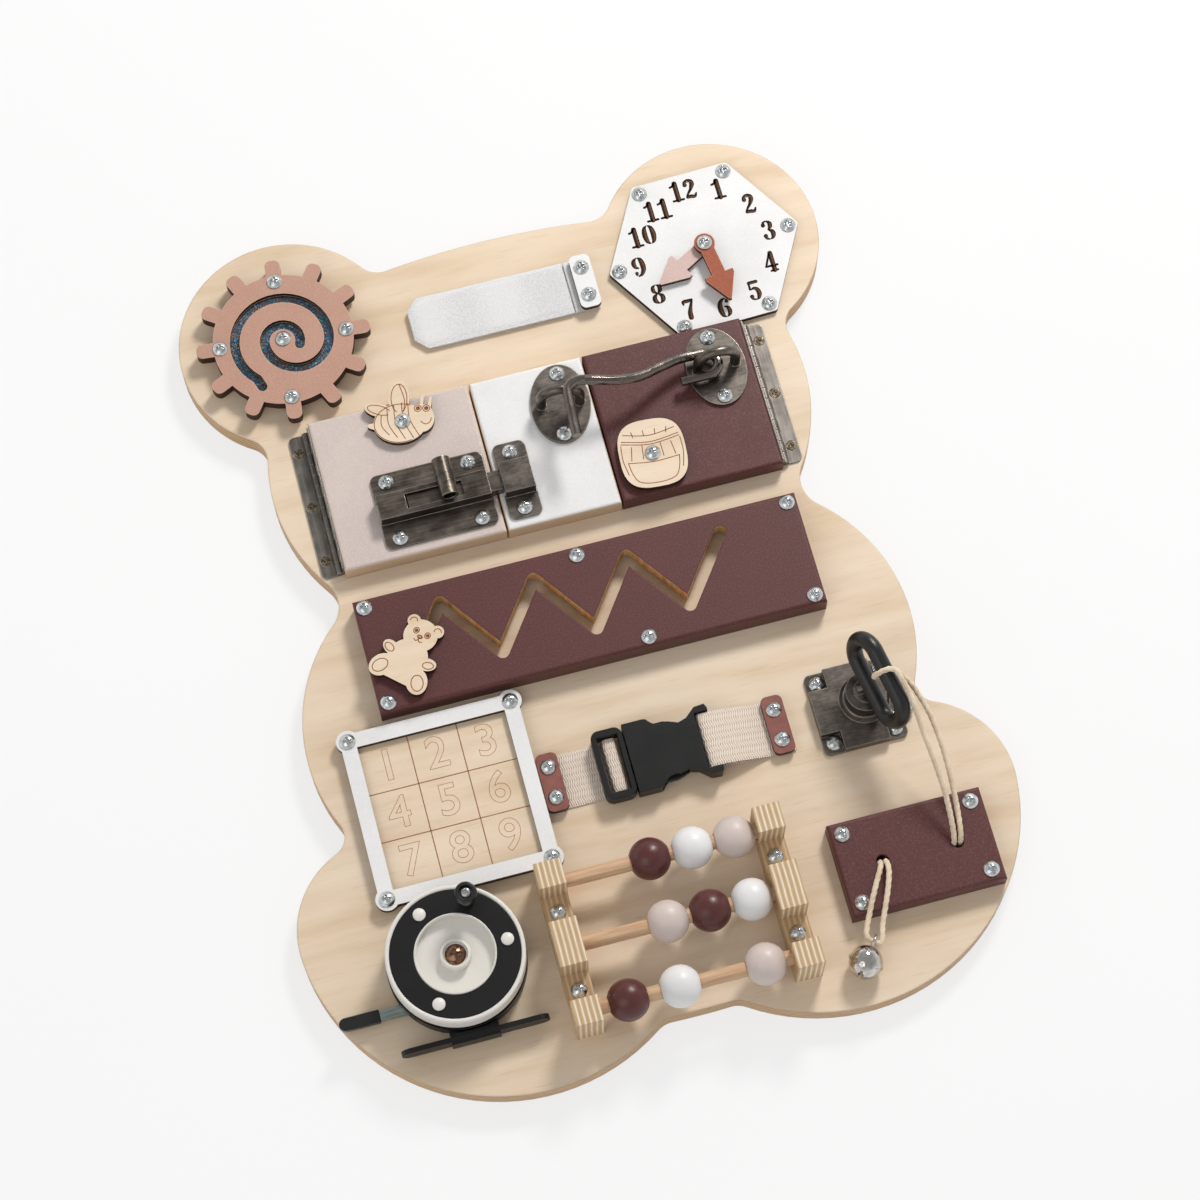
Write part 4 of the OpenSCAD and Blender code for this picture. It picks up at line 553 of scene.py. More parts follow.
def dress_nodes():
    """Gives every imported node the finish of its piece."""
    maroon = paint("maroon_paint", MAROON, speck=0.8)
    black = plastic("black_plastic", srgb(12, 11, 11), 0.4)
    bare = thin_ply("thin_birch")
    bolt = nickel("bolt_nickel", srgb(70, 62, 56), srgb(150, 140, 129), 0.32, (0.05, 1, 1))
    steel = nickel("hook_nickel", srgb(104, 96, 90), srgb(160, 150, 141), 0.2, (0.4, 0.4, 0.4), 0.4, 0.0)
    plate = nickel("plate_nickel", srgb(84, 78, 72), srgb(150, 141, 132), 0.34, (0.3, 1, 1))
    leaf = nickel("leaf_nickel", srgb(96, 91, 86), srgb(158, 152, 145), 0.4, (1, 0.05, 1))
    screws = zinc()
    finishes = {
        board_ply(): ["board"],
        thin_ply("clock_paint", WHITE, 0.2): ["clock_face", "number_frame"],
        thin_ply("gear_paint", ROSE, 0.3): ["gear_front", "gear_back"],
        thin_ply("hour_paint", srgb(204, 176, 168), 0.3): ["hour_hand"],
        thin_ply("minute_paint", RUST, 0.55): ["minute_hand"],
        clamp_ply(): ["strap_clamps"],
        bare: ["number_sheet", "bee", "barrel", "teddy_slider"],
        paint("block_paint", WHITE, "wood", 0.2): ["centre_block"],
        paint("rose_door_paint", PINK, "wood", 0.25, 0.5, 0.45): ["left_door"],
        maroon: ["right_door", "cord_plate"],
        zigzag_paint("zigzag_paint", MAROON): ["zigzag_panel"],
        rail_ply(): ["abacus_frame"],
        leaf: ["hinge_board_leaves", "left_door_leaf", "right_door_leaf"],
        bolt: ["bolt_housing", "slide_bolt"],
        plate: ["latch_catches", "hook_plate", "lock_case"],
        steel: ["hook_rod"],
        screws: ["board_screws", "gear_screws", "left_door_screws", "right_door_screws", "lock_bolt"],
        chrome(): ["bell"],
        black: ["reel_frame", "reel_ring", "buckle_male", "buckle_female", "prong_upper", "prong_lower"],
        plastic("reel_white", srgb(226, 222, 214), 0.35, 0.1): ["reel_spool"],
        clear_film(): ["gear_window"],
    }
    for tone, color, speck, rough in (("maroon", MAROON, 0.12, 0.3), ("white", WHITE, 0.1, 0.35),
                                      ("pink", PINK, 0.1, 0.35)):
        bead = paint(tone + "_bead", color, "paint", speck, 0.0, rough)
        finishes[bead] = [f"row_{row}_{tone}" for row in (1, 2, 3)]
    for material, names in finishes.items():
        for name in names:
            give(nodes[name], material)
    give(nodes["key"], part_metal("key_finish", key_mask, srgb(176, 168, 156)))
    give(nodes["reel_knob"], part_metal("knob_finish", knob_mask, srgb(214, 214, 212)))
    give(nodes["reel_lever"], part_metal("lever_finish", lever_mask, srgb(168, 182, 176)))


def give(piece, material):
    """Puts one material in every slot of a piece."""
    if not piece.material_slots:
        piece.data.materials.append(material)
    for slot in piece.material_slots:
        slot.link = "OBJECT"
        slot.material = material


def part_metal(name, mask_of, metal):
    """Black moulded plastic, with metal where the mask is 1."""
    graph = Graph(name)
    mask = mask_of(graph)
    spots = graph.noise(0.0005, 2.0, 0.6)
    lines = graph.noise(0.0014, 4.0, 0.65, stretch=(0.1, 1, 1))
    black = graph.ramp(spots, (0.4, srgb(13, 12, 12)), (0.8, srgb(34, 33, 33)))
    bright = graph.ramp(lines, (0.35, toned(metal, 0.45)), (0.65, metal))
    color = graph.mix(mask, black, bright)
    gloss = graph.math("MULTIPLY_ADD", mask, -0.06, 0.36)
    normal = graph.bump(spots, 0.15, 0.0002, graph.round_edges(0.0006))
    return graph.finish(color, gloss, normal, Metallic=mask)


def key_mask(graph):
    """The plug, and the blade between it and the bow."""
    case_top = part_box("lock_case")[1].z
    low = graph.under(graph.axis("Z"), case_top + 0.0007)
    blade = graph.under(graph.axis("Z"), case_top + 0.0067)
    across = graph.math("COMPARE", graph.axis("Y"), -0.0828, 0.00125)
    along = graph.math("COMPARE", graph.axis("X"), 0.1139, 0.00475)
    blade = graph.times(blade, graph.times(across, along))
    return graph.math("MAXIMUM", low, blade)


def knob_mask(graph):
    """The screw in the top of the crank knob."""
    screw_r, screw_depth = 0.00295, 0.0024
    low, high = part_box("reel_knob")
    middle = (low + high) / 2
    flat = graph.add("ShaderNodeVectorMath", {0: graph.place, 1: (1, 1, 0)}, operation="MULTIPLY")
    near = graph.under(graph.distance(flat.outputs[0], (middle.x, middle.y, 0)), screw_r)
    return graph.times(near, graph.over(graph.axis("Z"), high.z - screw_depth))


def lever_mask(graph):
    """The bare strip, up to the sleeve on its end."""
    sleeve = 0.0193
    return graph.over(graph.axis("X"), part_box("reel_lever")[0].x + sleeve)


# ---- shapes
def add_piece(name, vertices, faces, material, body, smooth=True):
    """A mesh in the row frame that rides on a CAD body."""
    mesh = bpy.data.meshes.new(name)
    mesh.from_pydata([tuple(v) for v in vertices], [], faces)
    mesh.validate()
    mesh.polygons.foreach_set("use_smooth", [smooth] * len(mesh.polygons))
    piece = bpy.data.objects.new(name, mesh)
    link(piece)
    mesh.materials.append(material)
    if body:
        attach(piece, body)
    return piece


def curve_points(points, steps):
    """Catmull-Rom curve through the points, with `steps` stretches between each two."""
    result = []
    for i in range(len(points) - 1):
        a, b = points[max(i - 1, 0)], points[i]
        c, d = points[i + 1], points[min(i + 2, len(points) - 1)]
        for k in range(steps):
            t = k / steps
            result.append(0.5 * (2 * b + t * (c - a) + t * t * (2 * a - 5 * b + 4 * c - d)
                                 + t ** 3 * (3 * b - a - 3 * c + d)))
    result.append(points[-1].copy())
    return result


def evenly(points, gap):
    """The same line with points about `gap` apart."""
    lengths = [0.0]
    for a, b in zip(points, points[1:]):
        lengths.append(lengths[-1] + (b - a).length)
    count = max(2, round(lengths[-1] / gap))
    result, i = [], 0
    for k in range(count + 1):
        target = lengths[-1] * k / count
        while i < len(lengths) - 2 and lengths[i + 1] < target:
            i += 1
        span = lengths[i + 1] - lengths[i]
        t = 0 if span == 0 else (target - lengths[i]) / span
        result.append(points[i].lerp(points[i + 1], t))
    return result


def heading(points, i):
    """The unit direction of a line at its point i."""
    return (points[min(i + 1, len(points) - 1)] - points[max(i - 1, 0)]).normalized()


def flat_stroke(points, widths, z):
    """Vertices and faces of a flat strip along 2-D points, with a width at each and round ends."""
    end_steps = 6
    vertices, faces = [], []
    for i, (p, w) in enumerate(zip(points, widths)):
        ahead = heading(points, i)
        side = Vector((-ahead.y, ahead.x))
        for s in (1, -1):
            q = p + side * (s * w / 2)
            vertices.append(Vector((q.x, q.y, z)))
        if i:
            k = 2 * i
            faces.append((k - 2, k - 1, k + 1, k))
    for index, sign in ((0, -1), (len(points) - 1, 1)):
        ahead = heading(points, index) * sign
        start = len(vertices)
        r = widths[index] / 2
        side = Vector((-ahead.y, ahead.x))
        for k in range(end_steps + 1):
            a = math.pi * k / end_steps
            q = points[index] + side * (r * math.cos(a)) + ahead * (r * math.sin(a))
            vertices.append(Vector((q.x, q.y, z)))
        ring = list(range(start, start + end_steps + 1))
        faces.append(tuple(ring if sign < 0 else reversed(ring)))
    return vertices, faces


class Drawing:
    """Flat strokes on one plane, drawn in mm, placed and turned together, then made into one piece."""

    def __init__(self, centre, z, angle=0.0):
        self.centre = Vector(centre) * MM
        self.z = z * MM
        self.angle = math.radians(angle)
        self.vertices = []
        self.faces = []

    def to_board(self, point):
        p = Vector(point) * MM
        cos, sin = math.cos(self.angle), math.sin(self.angle)
        return self.centre + Vector((p.x * cos - p.y * sin, p.x * sin + p.y * cos))

    def stroke(self, points, width, smooth=True):
        """Adds a line. width is one number, or each point holds its own as a third value."""
        if len(points) < 2:
            return
        plan = [Vector(p[:2]) for p in points]
        widths = [p[2] if len(p) > 2 else width for p in points]
        if smooth and len(points) > 2:
            path = curve_points([Vector((p.x, p.y, w)) for p, w in zip(plan, widths)], 6)
            plan = [Vector((p.x, p.y)) for p in path]
            widths = [p.z for p in path]
        placed = [self.to_board(p) for p in plan]
        vertices, faces = flat_stroke(placed, [w * MM for w in widths], self.z)
        offset = len(self.vertices)
        self.vertices += vertices
        self.faces += [tuple(i + offset for i in face) for face in faces]

    def oval(self, centre, a, b, width, turn=0.0, start=0, end=360):
        """Adds an ellipse with half axes a and b, or its part from start to end in degrees."""
        steps = 24
        cos, sin = math.cos(math.radians(turn)), math.sin(math.radians(turn))
        points = []
        for k in range(steps + 1):
            t = math.radians(start + (end - start) * k / steps)
            x, y = a * math.cos(t), b * math.sin(t)
            points.append((centre[0] + x * cos - y * sin, centre[1] + x * sin + y * cos))
        self.stroke(points, width, smooth=False)

    def piece(self, name, material, body):
        return add_piece(name, self.vertices, self.faces, material, body, smooth=False)


# ---- figures and engraving
CLOCK = (104.0, 166.1)
# Heights in mm: the clock's face, the bee and the barrel, the teddy, and lines over what they mark
FACE_TOP = 15.0
CUTOUT_TOP = 25.7
TEDDY_TOP = 27.5
INK_LIFT = 0.04
FIGURE_WIDE = 0.6


def mirrored(line):
    return [(FIGURE_WIDE - x, y, w) for x, y, w in line]


# Stencil figures 1 high and FIGURE_WIDE wide: each stroke is points of (x, y, stroke width)
SIDE_OF_0 = [(0.265, 0.955, 0.05), (0.15, 0.82, 0.17), (0.105, 0.5, 0.22), (0.15, 0.18, 0.17),
             (0.265, 0.045, 0.05)]
TOP_OF_8 = [(0.27, 0.96, 0.05), (0.16, 0.87, 0.15), (0.15, 0.68, 0.17), (0.265, 0.555, 0.07)]
FOOT_OF_8 = [(0.265, 0.51, 0.07), (0.13, 0.38, 0.18), (0.13, 0.18, 0.19), (0.27, 0.045, 0.06)]
FIGURES = {
    "0": [SIDE_OF_0, mirrored(SIDE_OF_0)],
    "1": [[(0.32, 0.06, 0.21), (0.32, 0.92, 0.21)],
          [(0.30, 0.90, 0.12), (0.18, 0.80, 0.1), (0.08, 0.77, 0.1)],
          [(0.08, 0.05, 0.1), (0.56, 0.05, 0.1)]],
    "2": [[(0.13, 0.72, 0.19), (0.14, 0.86, 0.12), (0.28, 0.95, 0.09), (0.43, 0.86, 0.17),
           (0.45, 0.70, 0.2), (0.36, 0.50, 0.15)],
          [(0.31, 0.43, 0.13), (0.20, 0.30, 0.1), (0.11, 0.18, 0.08)],
          [(0.11, 0.10, 0.15), (0.28, 0.10, 0.17), (0.44, 0.07, 0.14), (0.54, 0.22, 0.07)]],
    "3": [[(0.13, 0.77, 0.18), (0.17, 0.91, 0.1), (0.27, 0.955, 0.07)],
          [(0.33, 0.955, 0.07), (0.44, 0.83, 0.18), (0.43, 0.66, 0.18), (0.32, 0.545, 0.07)],
          [(0.32, 0.51, 0.07), (0.46, 0.40, 0.18), (0.48, 0.24, 0.2), (0.42, 0.1, 0.14),
           (0.33, 0.045, 0.06)],
          [(0.27, 0.045, 0.06), (0.15, 0.1, 0.11), (0.12, 0.24, 0.18)]],
    "4": [[(0.40, 0.93, 0.2), (0.40, 0.37, 0.2)], [(0.40, 0.23, 0.2), (0.40, 0.06, 0.2)],
          [(0.33, 0.88, 0.09), (0.09, 0.37, 0.09)], [(0.06, 0.30, 0.1), (0.58, 0.30, 0.1)],
          [(0.24, 0.05, 0.09), (0.55, 0.05, 0.09)]],
    "5": [[(0.14, 0.90, 0.15), (0.48, 0.91, 0.15)], [(0.13, 0.86, 0.09), (0.12, 0.58, 0.09)],
          [(0.17, 0.56, 0.06), (0.30, 0.61, 0.12), (0.44, 0.51, 0.18), (0.48, 0.31, 0.2),
           (0.42, 0.12, 0.15), (0.33, 0.045, 0.07)],
          [(0.27, 0.045, 0.07), (0.15, 0.1, 0.11), (0.12, 0.22, 0.18)]],
    "6": [[(0.40, 0.955, 0.06), (0.24, 0.88, 0.14), (0.12, 0.67, 0.2), (0.105, 0.4, 0.22),
           (0.16, 0.15, 0.17), (0.27, 0.045, 0.05)],
          [(0.33, 0.045, 0.05), (0.45, 0.16, 0.16), (0.49, 0.32, 0.19), (0.44, 0.49, 0.14),
           (0.32, 0.56, 0.06)],
          [(0.46, 0.86, 0.11), (0.46, 0.79, 0.15)]],
    "7": [[(0.10, 0.76, 0.08), (0.12, 0.90, 0.14), (0.30, 0.90, 0.17), (0.52, 0.93, 0.1)],
          [(0.50, 0.86, 0.1), (0.39, 0.60, 0.14), (0.30, 0.32, 0.2), (0.28, 0.07, 0.21)]],
    "8": [TOP_OF_8, mirrored(TOP_OF_8), FOOT_OF_8, mirrored(FOOT_OF_8)],
}
FIGURES["9"] = [[(FIGURE_WIDE - x, 1 - y, w) for x, y, w in line] for line in FIGURES["6"]]


def clock_numerals():
    """Twelve figures cut through the face: burnt walls darkened with painted shade, round a sliver of the
    wood below painted in shade.
    """
    height, spread, bold = 11.0, 7.1, 1.12
    dial_radius, inner_radius, dial_top = 34.0, 31.4, 92.5
    thinnest_floor = 1.3
    # The wall strokes cover each whole figure in dark brown: burnt walls, with painted shade for the
    # depth of the hole
    walls = Drawing(CLOCK, FACE_TOP + INK_LIFT)
    # The floor strokes are thin slivers set off to one side: the board's wood in the hole, painted dark
    # as shade
    below = Drawing(CLOCK, FACE_TOP + 0.06)
    for hour in range(1, 13):
        angle = math.radians(dial_top - 30 * hour)
        radius = inner_radius if hour in (10, 11) else dial_radius
        word = str(hour)
        left = -len(word) * spread / 2
        x, y = radius * math.cos(angle), radius * math.sin(angle)
        for i, figure in enumerate(word):
            for line in FIGURES[figure]:
                points = [(x + left + i * spread + px * height, y + (py - 0.5) * height,
                           w * height * bold) for px, py, w in line]
                walls.stroke(points, 0)
                below.stroke([(px + 0.16 * w, py - 0.2 * w, w * 0.36)
                              for px, py, w in points if w > thinnest_floor], 0)
    walls.piece("clock_numerals", plain_wood("burnt_walls_and_shade", srgb(44, 28, 20)), "board")
    below.piece("clock_numeral_shaded_floors", plain_wood("shaded_floor_sliver", srgb(108, 72, 46)), "board")


def number_outlines():
    """Figures 1 to 9 engraved in outline on the number sheet, with the grid between them."""
    centre, cell, top = Vector((-88.6, -80.0)), 24.0, 15.0
    line_width, reach = 0.45, 1.49 * cell
    ink = plain_wood("scorched_line", srgb(178, 122, 82))
    grid = Drawing(centre, top + 0.03)
    for s in (-0.5, 0.5):
        grid.stroke([(s * cell, -reach), (s * cell, reach)], line_width)
        grid.stroke([(-reach, s * cell), (reach, s * cell)], line_width)
    grid.piece("number_grid", ink, "board")
    for k in range(9):
        column, row = k % 3 - 1, 1 - k // 3
        data = bpy.data.curves.new(f"number_{k + 1}", "FONT")
        data.body = str(k + 1)
        data.size = 22 * MM
        data.align_x = "CENTER"
        data.align_y = "CENTER"
        data.fill_mode = "NONE"
        data.offset = 0.25 * MM
        data.bevel_depth = 0.2 * MM
        data.bevel_resolution = 1
        data.materials.append(ink)
        figure = bpy.data.objects.new(f"number_{k + 1}", data)
        link(figure)
        figure.location = ((centre.x + column * cell) * MM, (centre.y + row * cell) * MM,
                           (top - 0.12) * MM)
        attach(figure, "board")


def bee_lines():
    """Stripes, wing veins, round eyes and a smile."""
    drawing = Drawing((-64.2, 109.7), CUTOUT_TOP + INK_LIFT)
    w = 0.42
    drawing.oval((-1.6, -0.8), 12.6, 10.1, w, -8, 62, 292)
    for x, top, low in ((-9.5, 5.4, -5.6), (-6.0, 8.0, -7.8), (-2.4, 9.2, -9.4), (1.6, 9.4, -10.0),
                        (4.6, 8.6, -9.6)):
        drawing.stroke([(x, top), (x - 1.1, 0), (x + 1.4, low)], w)
    drawing.oval((1.0, 12.0), 7.6, 3.9, w, 78, 200, 520)
    drawing.stroke([(1.6, 4.8), (3.4, 11), (2.7, 19.4)], w)
    drawing.oval((-10.0, 8.5), 5.8, 2.3, w, 150, -150, 150)
    for x, y in ((8.6, 4.6), (12.6, 3.6)):
        drawing.oval((x, y), 1.7, 1.7, w)
        drawing.oval((x, y), 0.6, 0.6, 0.9)
    drawing.stroke([(8.4, -2.4), (10.2, -4.4), (12.6, -3.9), (13.8, -2.0)], w)
    drawing.piece("bee_lines", plain_wood("bee_ink", SCORCH), "bee")


def barrel_lines():
    """Hoops, staves and a bare label."""
    drawing = Drawing((49.0, 62.0), CUTOUT_TOP + INK_LIFT, -4)
    w = 0.42
    for y, half in ((11.6, 12.6), (8.2, 14.0), (6.9, 14.3)):
        drawing.stroke([(-half, y), (0, y - 2.2), (half, y)], w)
    for x in (-8.0, -2.6, 3.0, 8.4):
        drawing.stroke([(x, 9.6), (x * 1.06, 12.4)], w)
    for x in (-9.6, -4.4, 4.6, 9.8):
        drawing.stroke([(x, 4.6), (x * 1.12, -2.4)], w)
    drawing.stroke([(-12.6, -3.4), (0, -4.6), (12.6, -3.4)], w)
    drawing.stroke([(-12.6, -3.4), (-11.4, -9.6), (-8.4, -14.2), (0, -15.6), (8.4, -14.2), (11.4, -9.6),
                    (12.6, -3.4)], w)
    drawing.stroke([(-14.6, 6.0), (-14.9, -1.5), (-13.4, -9.4)], w)
    drawing.stroke([(14.6, 6.0), (14.9, -1.5), (13.4, -9.4)], w)
    drawing.piece("barrel_lines", plain_wood("barrel_ink", SCORCH), "barrel")


def teddy_lines():
    """A plain teddy face, ears, hands and foot pads."""
    drawing = Drawing((-92.0, -11.2), TEDDY_TOP + INK_LIFT, -42.5)
    w = 0.45
    for s in (-1, 1):
        drawing.oval((s * 3.0, 15.6), 1.3, 1.5, w)
        drawing.oval((s * 3.0, 15.6), 0.45, 0.55, 0.8)
        drawing.oval((s * 6.4, 19.4), 1.7, 1.7, w, 0, 20, 200)
        drawing.oval((s * 10.4, 2.4), 2.6, 1.7, w, s * 20)
        drawing.oval((s * 10.0, -7.6), 4.0, 2.9, w, s * -60)
        drawing.stroke([(0, 11.9), (s * 1.0, 10.9), (s * 2.1, 11.4)], w)
    drawing.oval((0, 13.4), 1.1, 0.7, 0.7)
    drawing.stroke([(0, 13.2), (0, 11.9)], w)
    drawing.piece("teddy_lines", plain_wood("teddy_ink", SCORCH), "teddy_slider")


# ---- webbing and tape
SCREW_SPREAD = 7.6
SCREW_HOLE_R = 2.3


def screw_holes(x, y):
    """The places of a clamp's two screws."""
    return [(x, y - SCREW_SPREAD), (x, y + SCREW_SPREAD)]


def ribbon(name, path, y, half_width, thickness, material, body, holes=()):
    """A band whose middle follows (x, z) points in mm, and the length of that middle.

    half_width is a number, or a function of the distance run. A hole leaves out the faces near it.
    """
    line = evenly(curve_points([Vector((x, 0, z)) * MM for x, z in path], 8), 0.9 * MM)
    columns = 14
    half = half_width if callable(half_width) else (lambda run: half_width)
    vertices, faces, run, open_cells = [], [], 0.0, set()
    for i, p in enumerate(line):
        ahead = heading(line, i)
        out = Vector((-ahead.z, 0, ahead.x))
        if i:
            run += (p - line[i - 1]).length
        w = half(run / MM) * MM
        for side in (1, -1):
            for k in range(columns + 1):
                t = (2 * k / columns - 1) * side
                edge = min(1.0, (1 - abs(t)) * w / (thickness * MM * 0.5))
                lift = math.sqrt(max(0.0, 1 - (1 - edge) ** 2)) * thickness * MM / 2
                vertices.append(p + Vector((0, y * MM + t * w, 0)) + out * (lift * side))
        ring = 2 * (columns + 1)
        if i:
            for k in range(ring):
                a, b = (i - 1) * ring + k, (i - 1) * ring + (k + 1) % ring
                middle = (vertices[a] + vertices[b + ring]) / 2
                if all((Vector(hole) * MM - middle.to_2d()).length > SCREW_HOLE_R * MM for hole in holes):
                    faces.append((a, a + ring, b + ring, b))
                else:
                    open_cells.add((i, min(k, ring - 2 - k)))
    ring = 2 * (columns + 1)
    for i, k in sorted(open_cells):
        over = [(i - 1, k), (i, k), (i, k + 1), (i - 1, k + 1)]
        beside = [(i, k - 1), (i + 1, k), (i, k + 1), (i - 1, k)]
        for (a, b), cell in zip(zip(over, over[1:] + over[:1]), beside):
            if cell not in open_cells:
                top_a, top_b = a[0] * ring + a[1], b[0] * ring + b[1]
                low_a, low_b = a[0] * ring + ring - 1 - a[1], b[0] * ring + ring - 1 - b[1]
                faces.append((top_a, top_b, low_b, low_a))
    faces.append(tuple(range(ring)))
    faces.append(tuple(reversed(range(len(vertices) - ring, len(vertices)))))
    piece = add_piece(name, vertices, faces, material, body)
    return piece, run


def webbing():
    """Two bands of webbing, each wrapped round a bar of its buckle half."""
    cloth = woven("webbing_cloth", srgb(236, 221, 206), srgb(186, 162, 144), 900, 330)
    y, half = -84.0, 13.4
    left_path = [(-45.2, 12.82), (-30, 12.84), (-14, 12.8), (-8.6, 12.82), (-6.5, 13.3), (-6.0, 14.8),
                 (-6.1, 16.6), (-6.9, 17.7), (-9.1, 17.95), (-11.3, 17.7), (-12.1, 16.6), (-12.2, 15.0),
                 (-12.9, 14.35)]
    left, run = ribbon("webbing_left_band", left_path, y, half, 1.15, cloth, None, screw_holes(-39.6, y))
    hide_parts("webbing_left")
    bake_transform(left)
    right_path = [(76.6, 12.42), (60, 12.42), (44, 12.42), (37, 12.44), (34.9, 12.7), (34.25, 13.6),
                  (34.05, 16), (34.1, 18.6), (34.8, 20.2), (36.8, 20.85), (41, 20.7), (47, 19.2),
                  (55, 16.4), (61.5, 14.1), (65.6, 13.24), (70, 13.18), (76.6, 13.18)]
    right, run = ribbon("webbing_right_band", right_path, y, half, 0.7, cloth, None, screw_holes(71.0, y))
    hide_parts("webbing_right")
    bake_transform(right)


def tape():
    """The touch-fastener strap: a strip fixed to the board and the flap that peels off it."""
    cloth = tape_cloth()
    y, half, bevel, clamp_x = 162.9, 14.0, 6.0, 41.6

    def cut_corners(run):
        return half - max(0.0, bevel - run)

    flap_path = [(-47.9, 14.36), (-40, 14.5), (-20, 14.42), (0, 14.5), (20, 14.4), (32.8, 14.44)]
    flap = ribbon("strap_flap_tape", flap_path, y, cut_corners, 1.3, cloth, "strap_flap")[0]
    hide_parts("strap_flap")
    strip_path = [(-43.8, 12.75), (-20, 12.75), (10, 12.75), (46.2, 12.75)]
    strip = ribbon("strap_strip_tape", strip_path, y, cut_corners, 1.3, cloth, "board",
                   screw_holes(clamp_x, y))[0]
    root_path = [(33.4, 14.36), (38, 14.36), (46.2, 14.36)]
    root = ribbon("strap_root_tape", root_path, y, half, 1.4, cloth, "board", screw_holes(clamp_x, y))[0]
    for piece in (strip, root):
        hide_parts("fastener_strip")


# ---- cords
KEY_ROUTE = [(133.9, -162.4, 17), (133.9, -162, 22.6), (134.6, -156.4, 26.6), (134.7, -142.6, 33.6),
             (133.4, -129.1, 40), (131.4, -114.2, 46.4), (130.2, -103.2, 51.4), (129.2, -97.4, 54.4),
             (127.7, -91.6, 57.2), (125.4, -85.4, 59.2), (121.6, -84.2, 59.8), (117.4, -84.4, 57.8),
             (115.7, -84.2, 54), (117.3, -83.3, 50), (121.3, -82.4, 48.2), (126.4, -82.4, 48.8),
             (130.6, -87.2, 49), (134, -95, 47.4), (137.5, -106.4, 43), (139.5, -121.2, 37),
             (139.8, -135.5, 31.4), (139.2, -148.5, 26.6), (138, -157.6, 25.4), (137.1, -162, 22.6),
             (137.1, -162.4, 17)]
BELL_ROUTE = [(100.75, -162.9, 17), (100.5, -162.9, 22), (100.4, -165.4, 25.4), (99.7, -169.6, 26.8),
              (97, -177, 26.4), (93.4, -185, 25), (90.2, -192, 24.2), (88.4, -197.2, 24.3),
              (86.6, -200.4, 24.8), (83.85, -199.06, 24.9), (81.6, -196.4, 24.9), (82.3, -192.6, 24.6),
              (85.2, -186.6, 24.8), (89.2, -179, 25.8), (93.2, -172, 26.6), (96.8, -165.8, 25.8),
              (97.8, -162.9, 22.2), (97.65, -162.9, 17)]
CORD_R = 1.4


def rope(name, route, node, cloth):
    """A three-strand cord along the route: its lobes wind round as it runs."""
    line = evenly(curve_points([Vector(p) * MM for p in route], 8), 0.45 * MM)
    around, strands, lay, groove = 12, 3, 3.4 * MM, 0.09
    side = None
    vertices, faces, run = [], [], 0.0
    for i, p in enumerate(line):
        ahead = heading(line, i)
        if side is None:
            side = Vector((0, 0, 1)) if abs(ahead.z) < 0.9 else Vector((1, 0, 0))
        side = (side - ahead * side.dot(ahead)).normalized()
        across = ahead.cross(side)
        if i:
            run += (p - line[i - 1]).length
        twist = 2 * math.pi * run / (lay * strands)
        for k in range(around):
            a = 2 * math.pi * k / around
            r = CORD_R * MM * (1 - groove + groove * math.cos(strands * (a - twist)))
            vertices.append(p + side * (r * math.cos(a)) + across * (r * math.sin(a)))
        if i:
            for k in range(around):
                a, b = (i - 1) * around + k, (i - 1) * around + (k + 1) % around
                faces.append((a, b, b + around, a + around))
    faces.append(tuple(reversed(range(around))))
    faces.append(tuple(range(len(vertices) - around, len(vertices))))
    piece = add_piece(name, vertices, faces, cloth, "board")
    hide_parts(node)
    return piece, line, run


def cords():
    cloth = rope_cloth()
    key, line, run = rope("key_cord_rope", KEY_ROUTE, "key_cord", cloth)
    bell, line, run = rope("bell_cord_rope", BELL_ROUTE, "bell_cord", cloth)


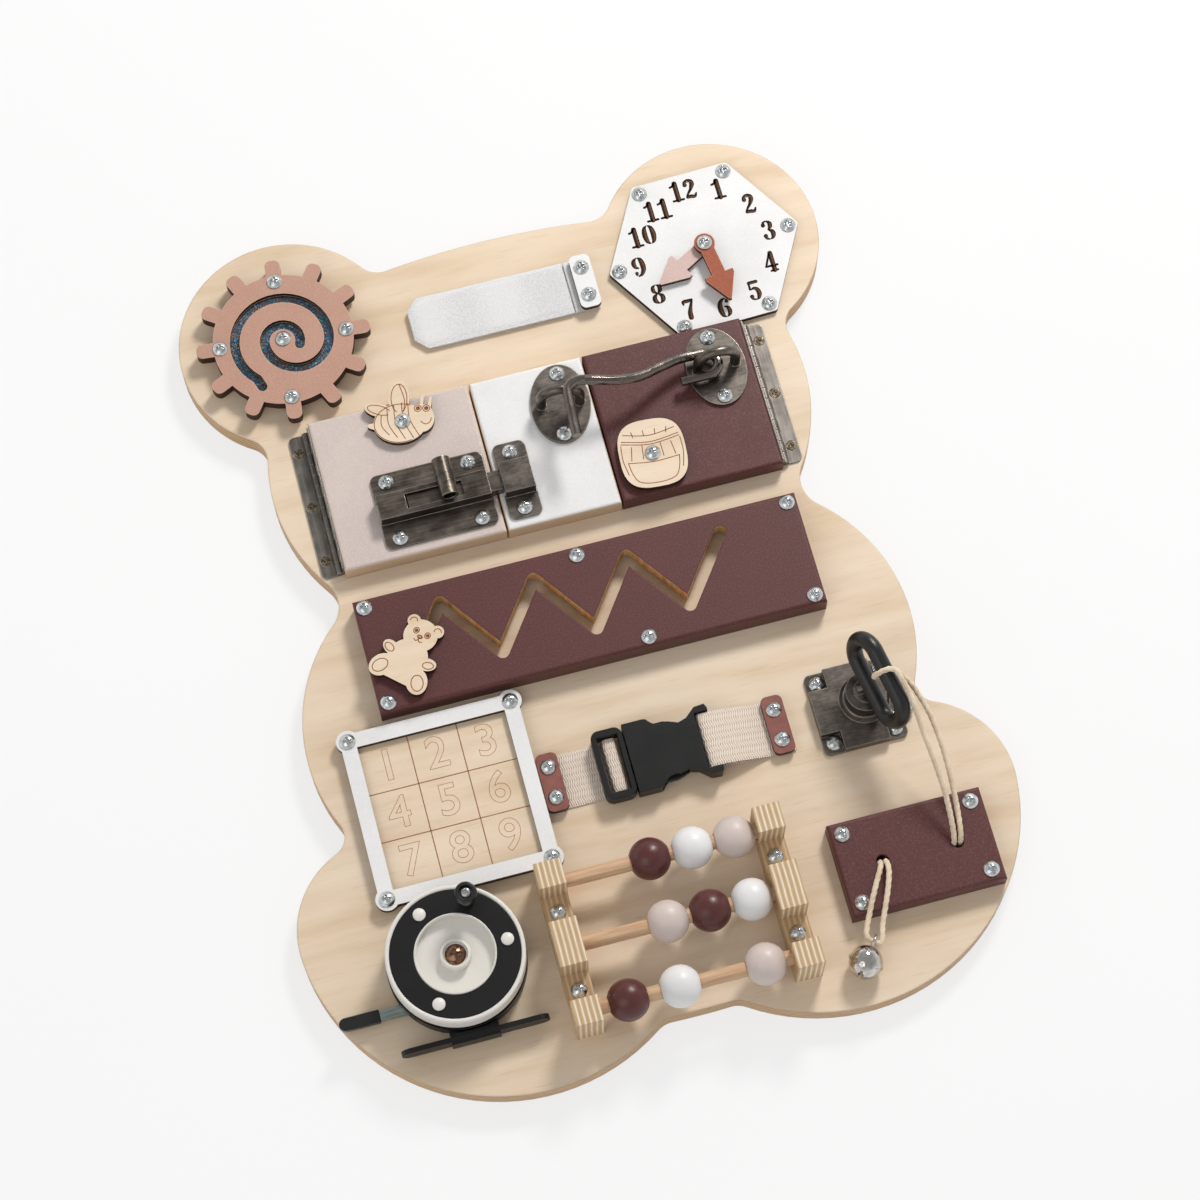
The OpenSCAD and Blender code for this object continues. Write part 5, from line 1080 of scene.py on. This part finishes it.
# ---- small things
def spiral_points():
    """The middle of the gear's slot, from its tail inwards, in mm from the gear's centre."""
    def arc(cx, cy, r, a, b, n):
        angles = [math.radians(a + (b - a) * i / n) for i in range(n + 1)]
        return [Vector((cx + r * math.cos(t), cy + r * math.sin(t))) for t in angles]
    tail = Vector((-15.6, -22.4))
    big, mid, small, right, y = 23.4, 16.0, 8.8, 22.6, -1.0
    return ([tail] + arc(right - big, y, big, 226, 0, 48) + arc(right - mid, y, mid, -9, -180, 36)
            + arc(right - 2 * mid + small, y, small, 169, -25, 28))


def glitter_beads():
    """Well over a thousand tiny beads, eight-sided, loose in the groove of the gear."""
    random.seed(7)
    low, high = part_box("gear_beads")
    centre, r, reach, per_mm = Vector((-110.6, 169.6)), 0.55, 1.9, 10
    vertices, faces = [], []
    corner = [Vector(v) for v in ((1, 0, 0), (0, 1, 0), (-1, 0, 0), (0, -1, 0), (0, 0, 1), (0, 0, -1))]
    sides = [(0, 1, 4), (1, 2, 4), (2, 3, 4), (3, 0, 4), (1, 0, 5), (2, 1, 5), (3, 2, 5), (0, 3, 5)]
    points = spiral_points()
    for a, b in zip(points, points[1:]):
        ahead = (b - a).normalized()
        for _ in range(round((b - a).length * per_mm)):
            across = random.uniform(-reach, reach)
            p = a.lerp(b, random.random()) + Vector((-ahead.y, ahead.x)) * across
            axis = Vector((random.random(), random.random(), 1)).normalized()
            spin = Matrix.Rotation(random.random() * 3, 3, axis)
            size = r * random.uniform(0.7, 1.1)
            bottom, top = low.z / MM + size, high.z / MM - size
            place = Vector((centre.x + p.x, centre.y + p.y, random.uniform(bottom, top)))
            start = len(vertices)
            vertices += [(place + spin @ (c * size)) * MM for c in corner]
            faces += [tuple(start + i for i in side) for side in sides]
    piece = add_piece("glitter_beads", vertices, faces, glitter(), "gear", smooth=False)
    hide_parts("gear_beads")


def make_floor():
    half, level = 3.0, -0.0003
    corners = [(-half, -half, level), (half, -half, level), (half, half, level), (-half, half, level)]
    floor = add_piece("floor", corners, [(0, 1, 2, 3)], floor_white(), None)


# ---- the scene
make_camera()
cords()
make_light()
make_floor()
dress_nodes()
clock_numerals()
number_outlines()
bee_lines()
barrel_lines()
teddy_lines()
webbing()
tape()
glitter_beads()

scene = bpy.context.scene
scene.view_settings.view_transform = "Standard"
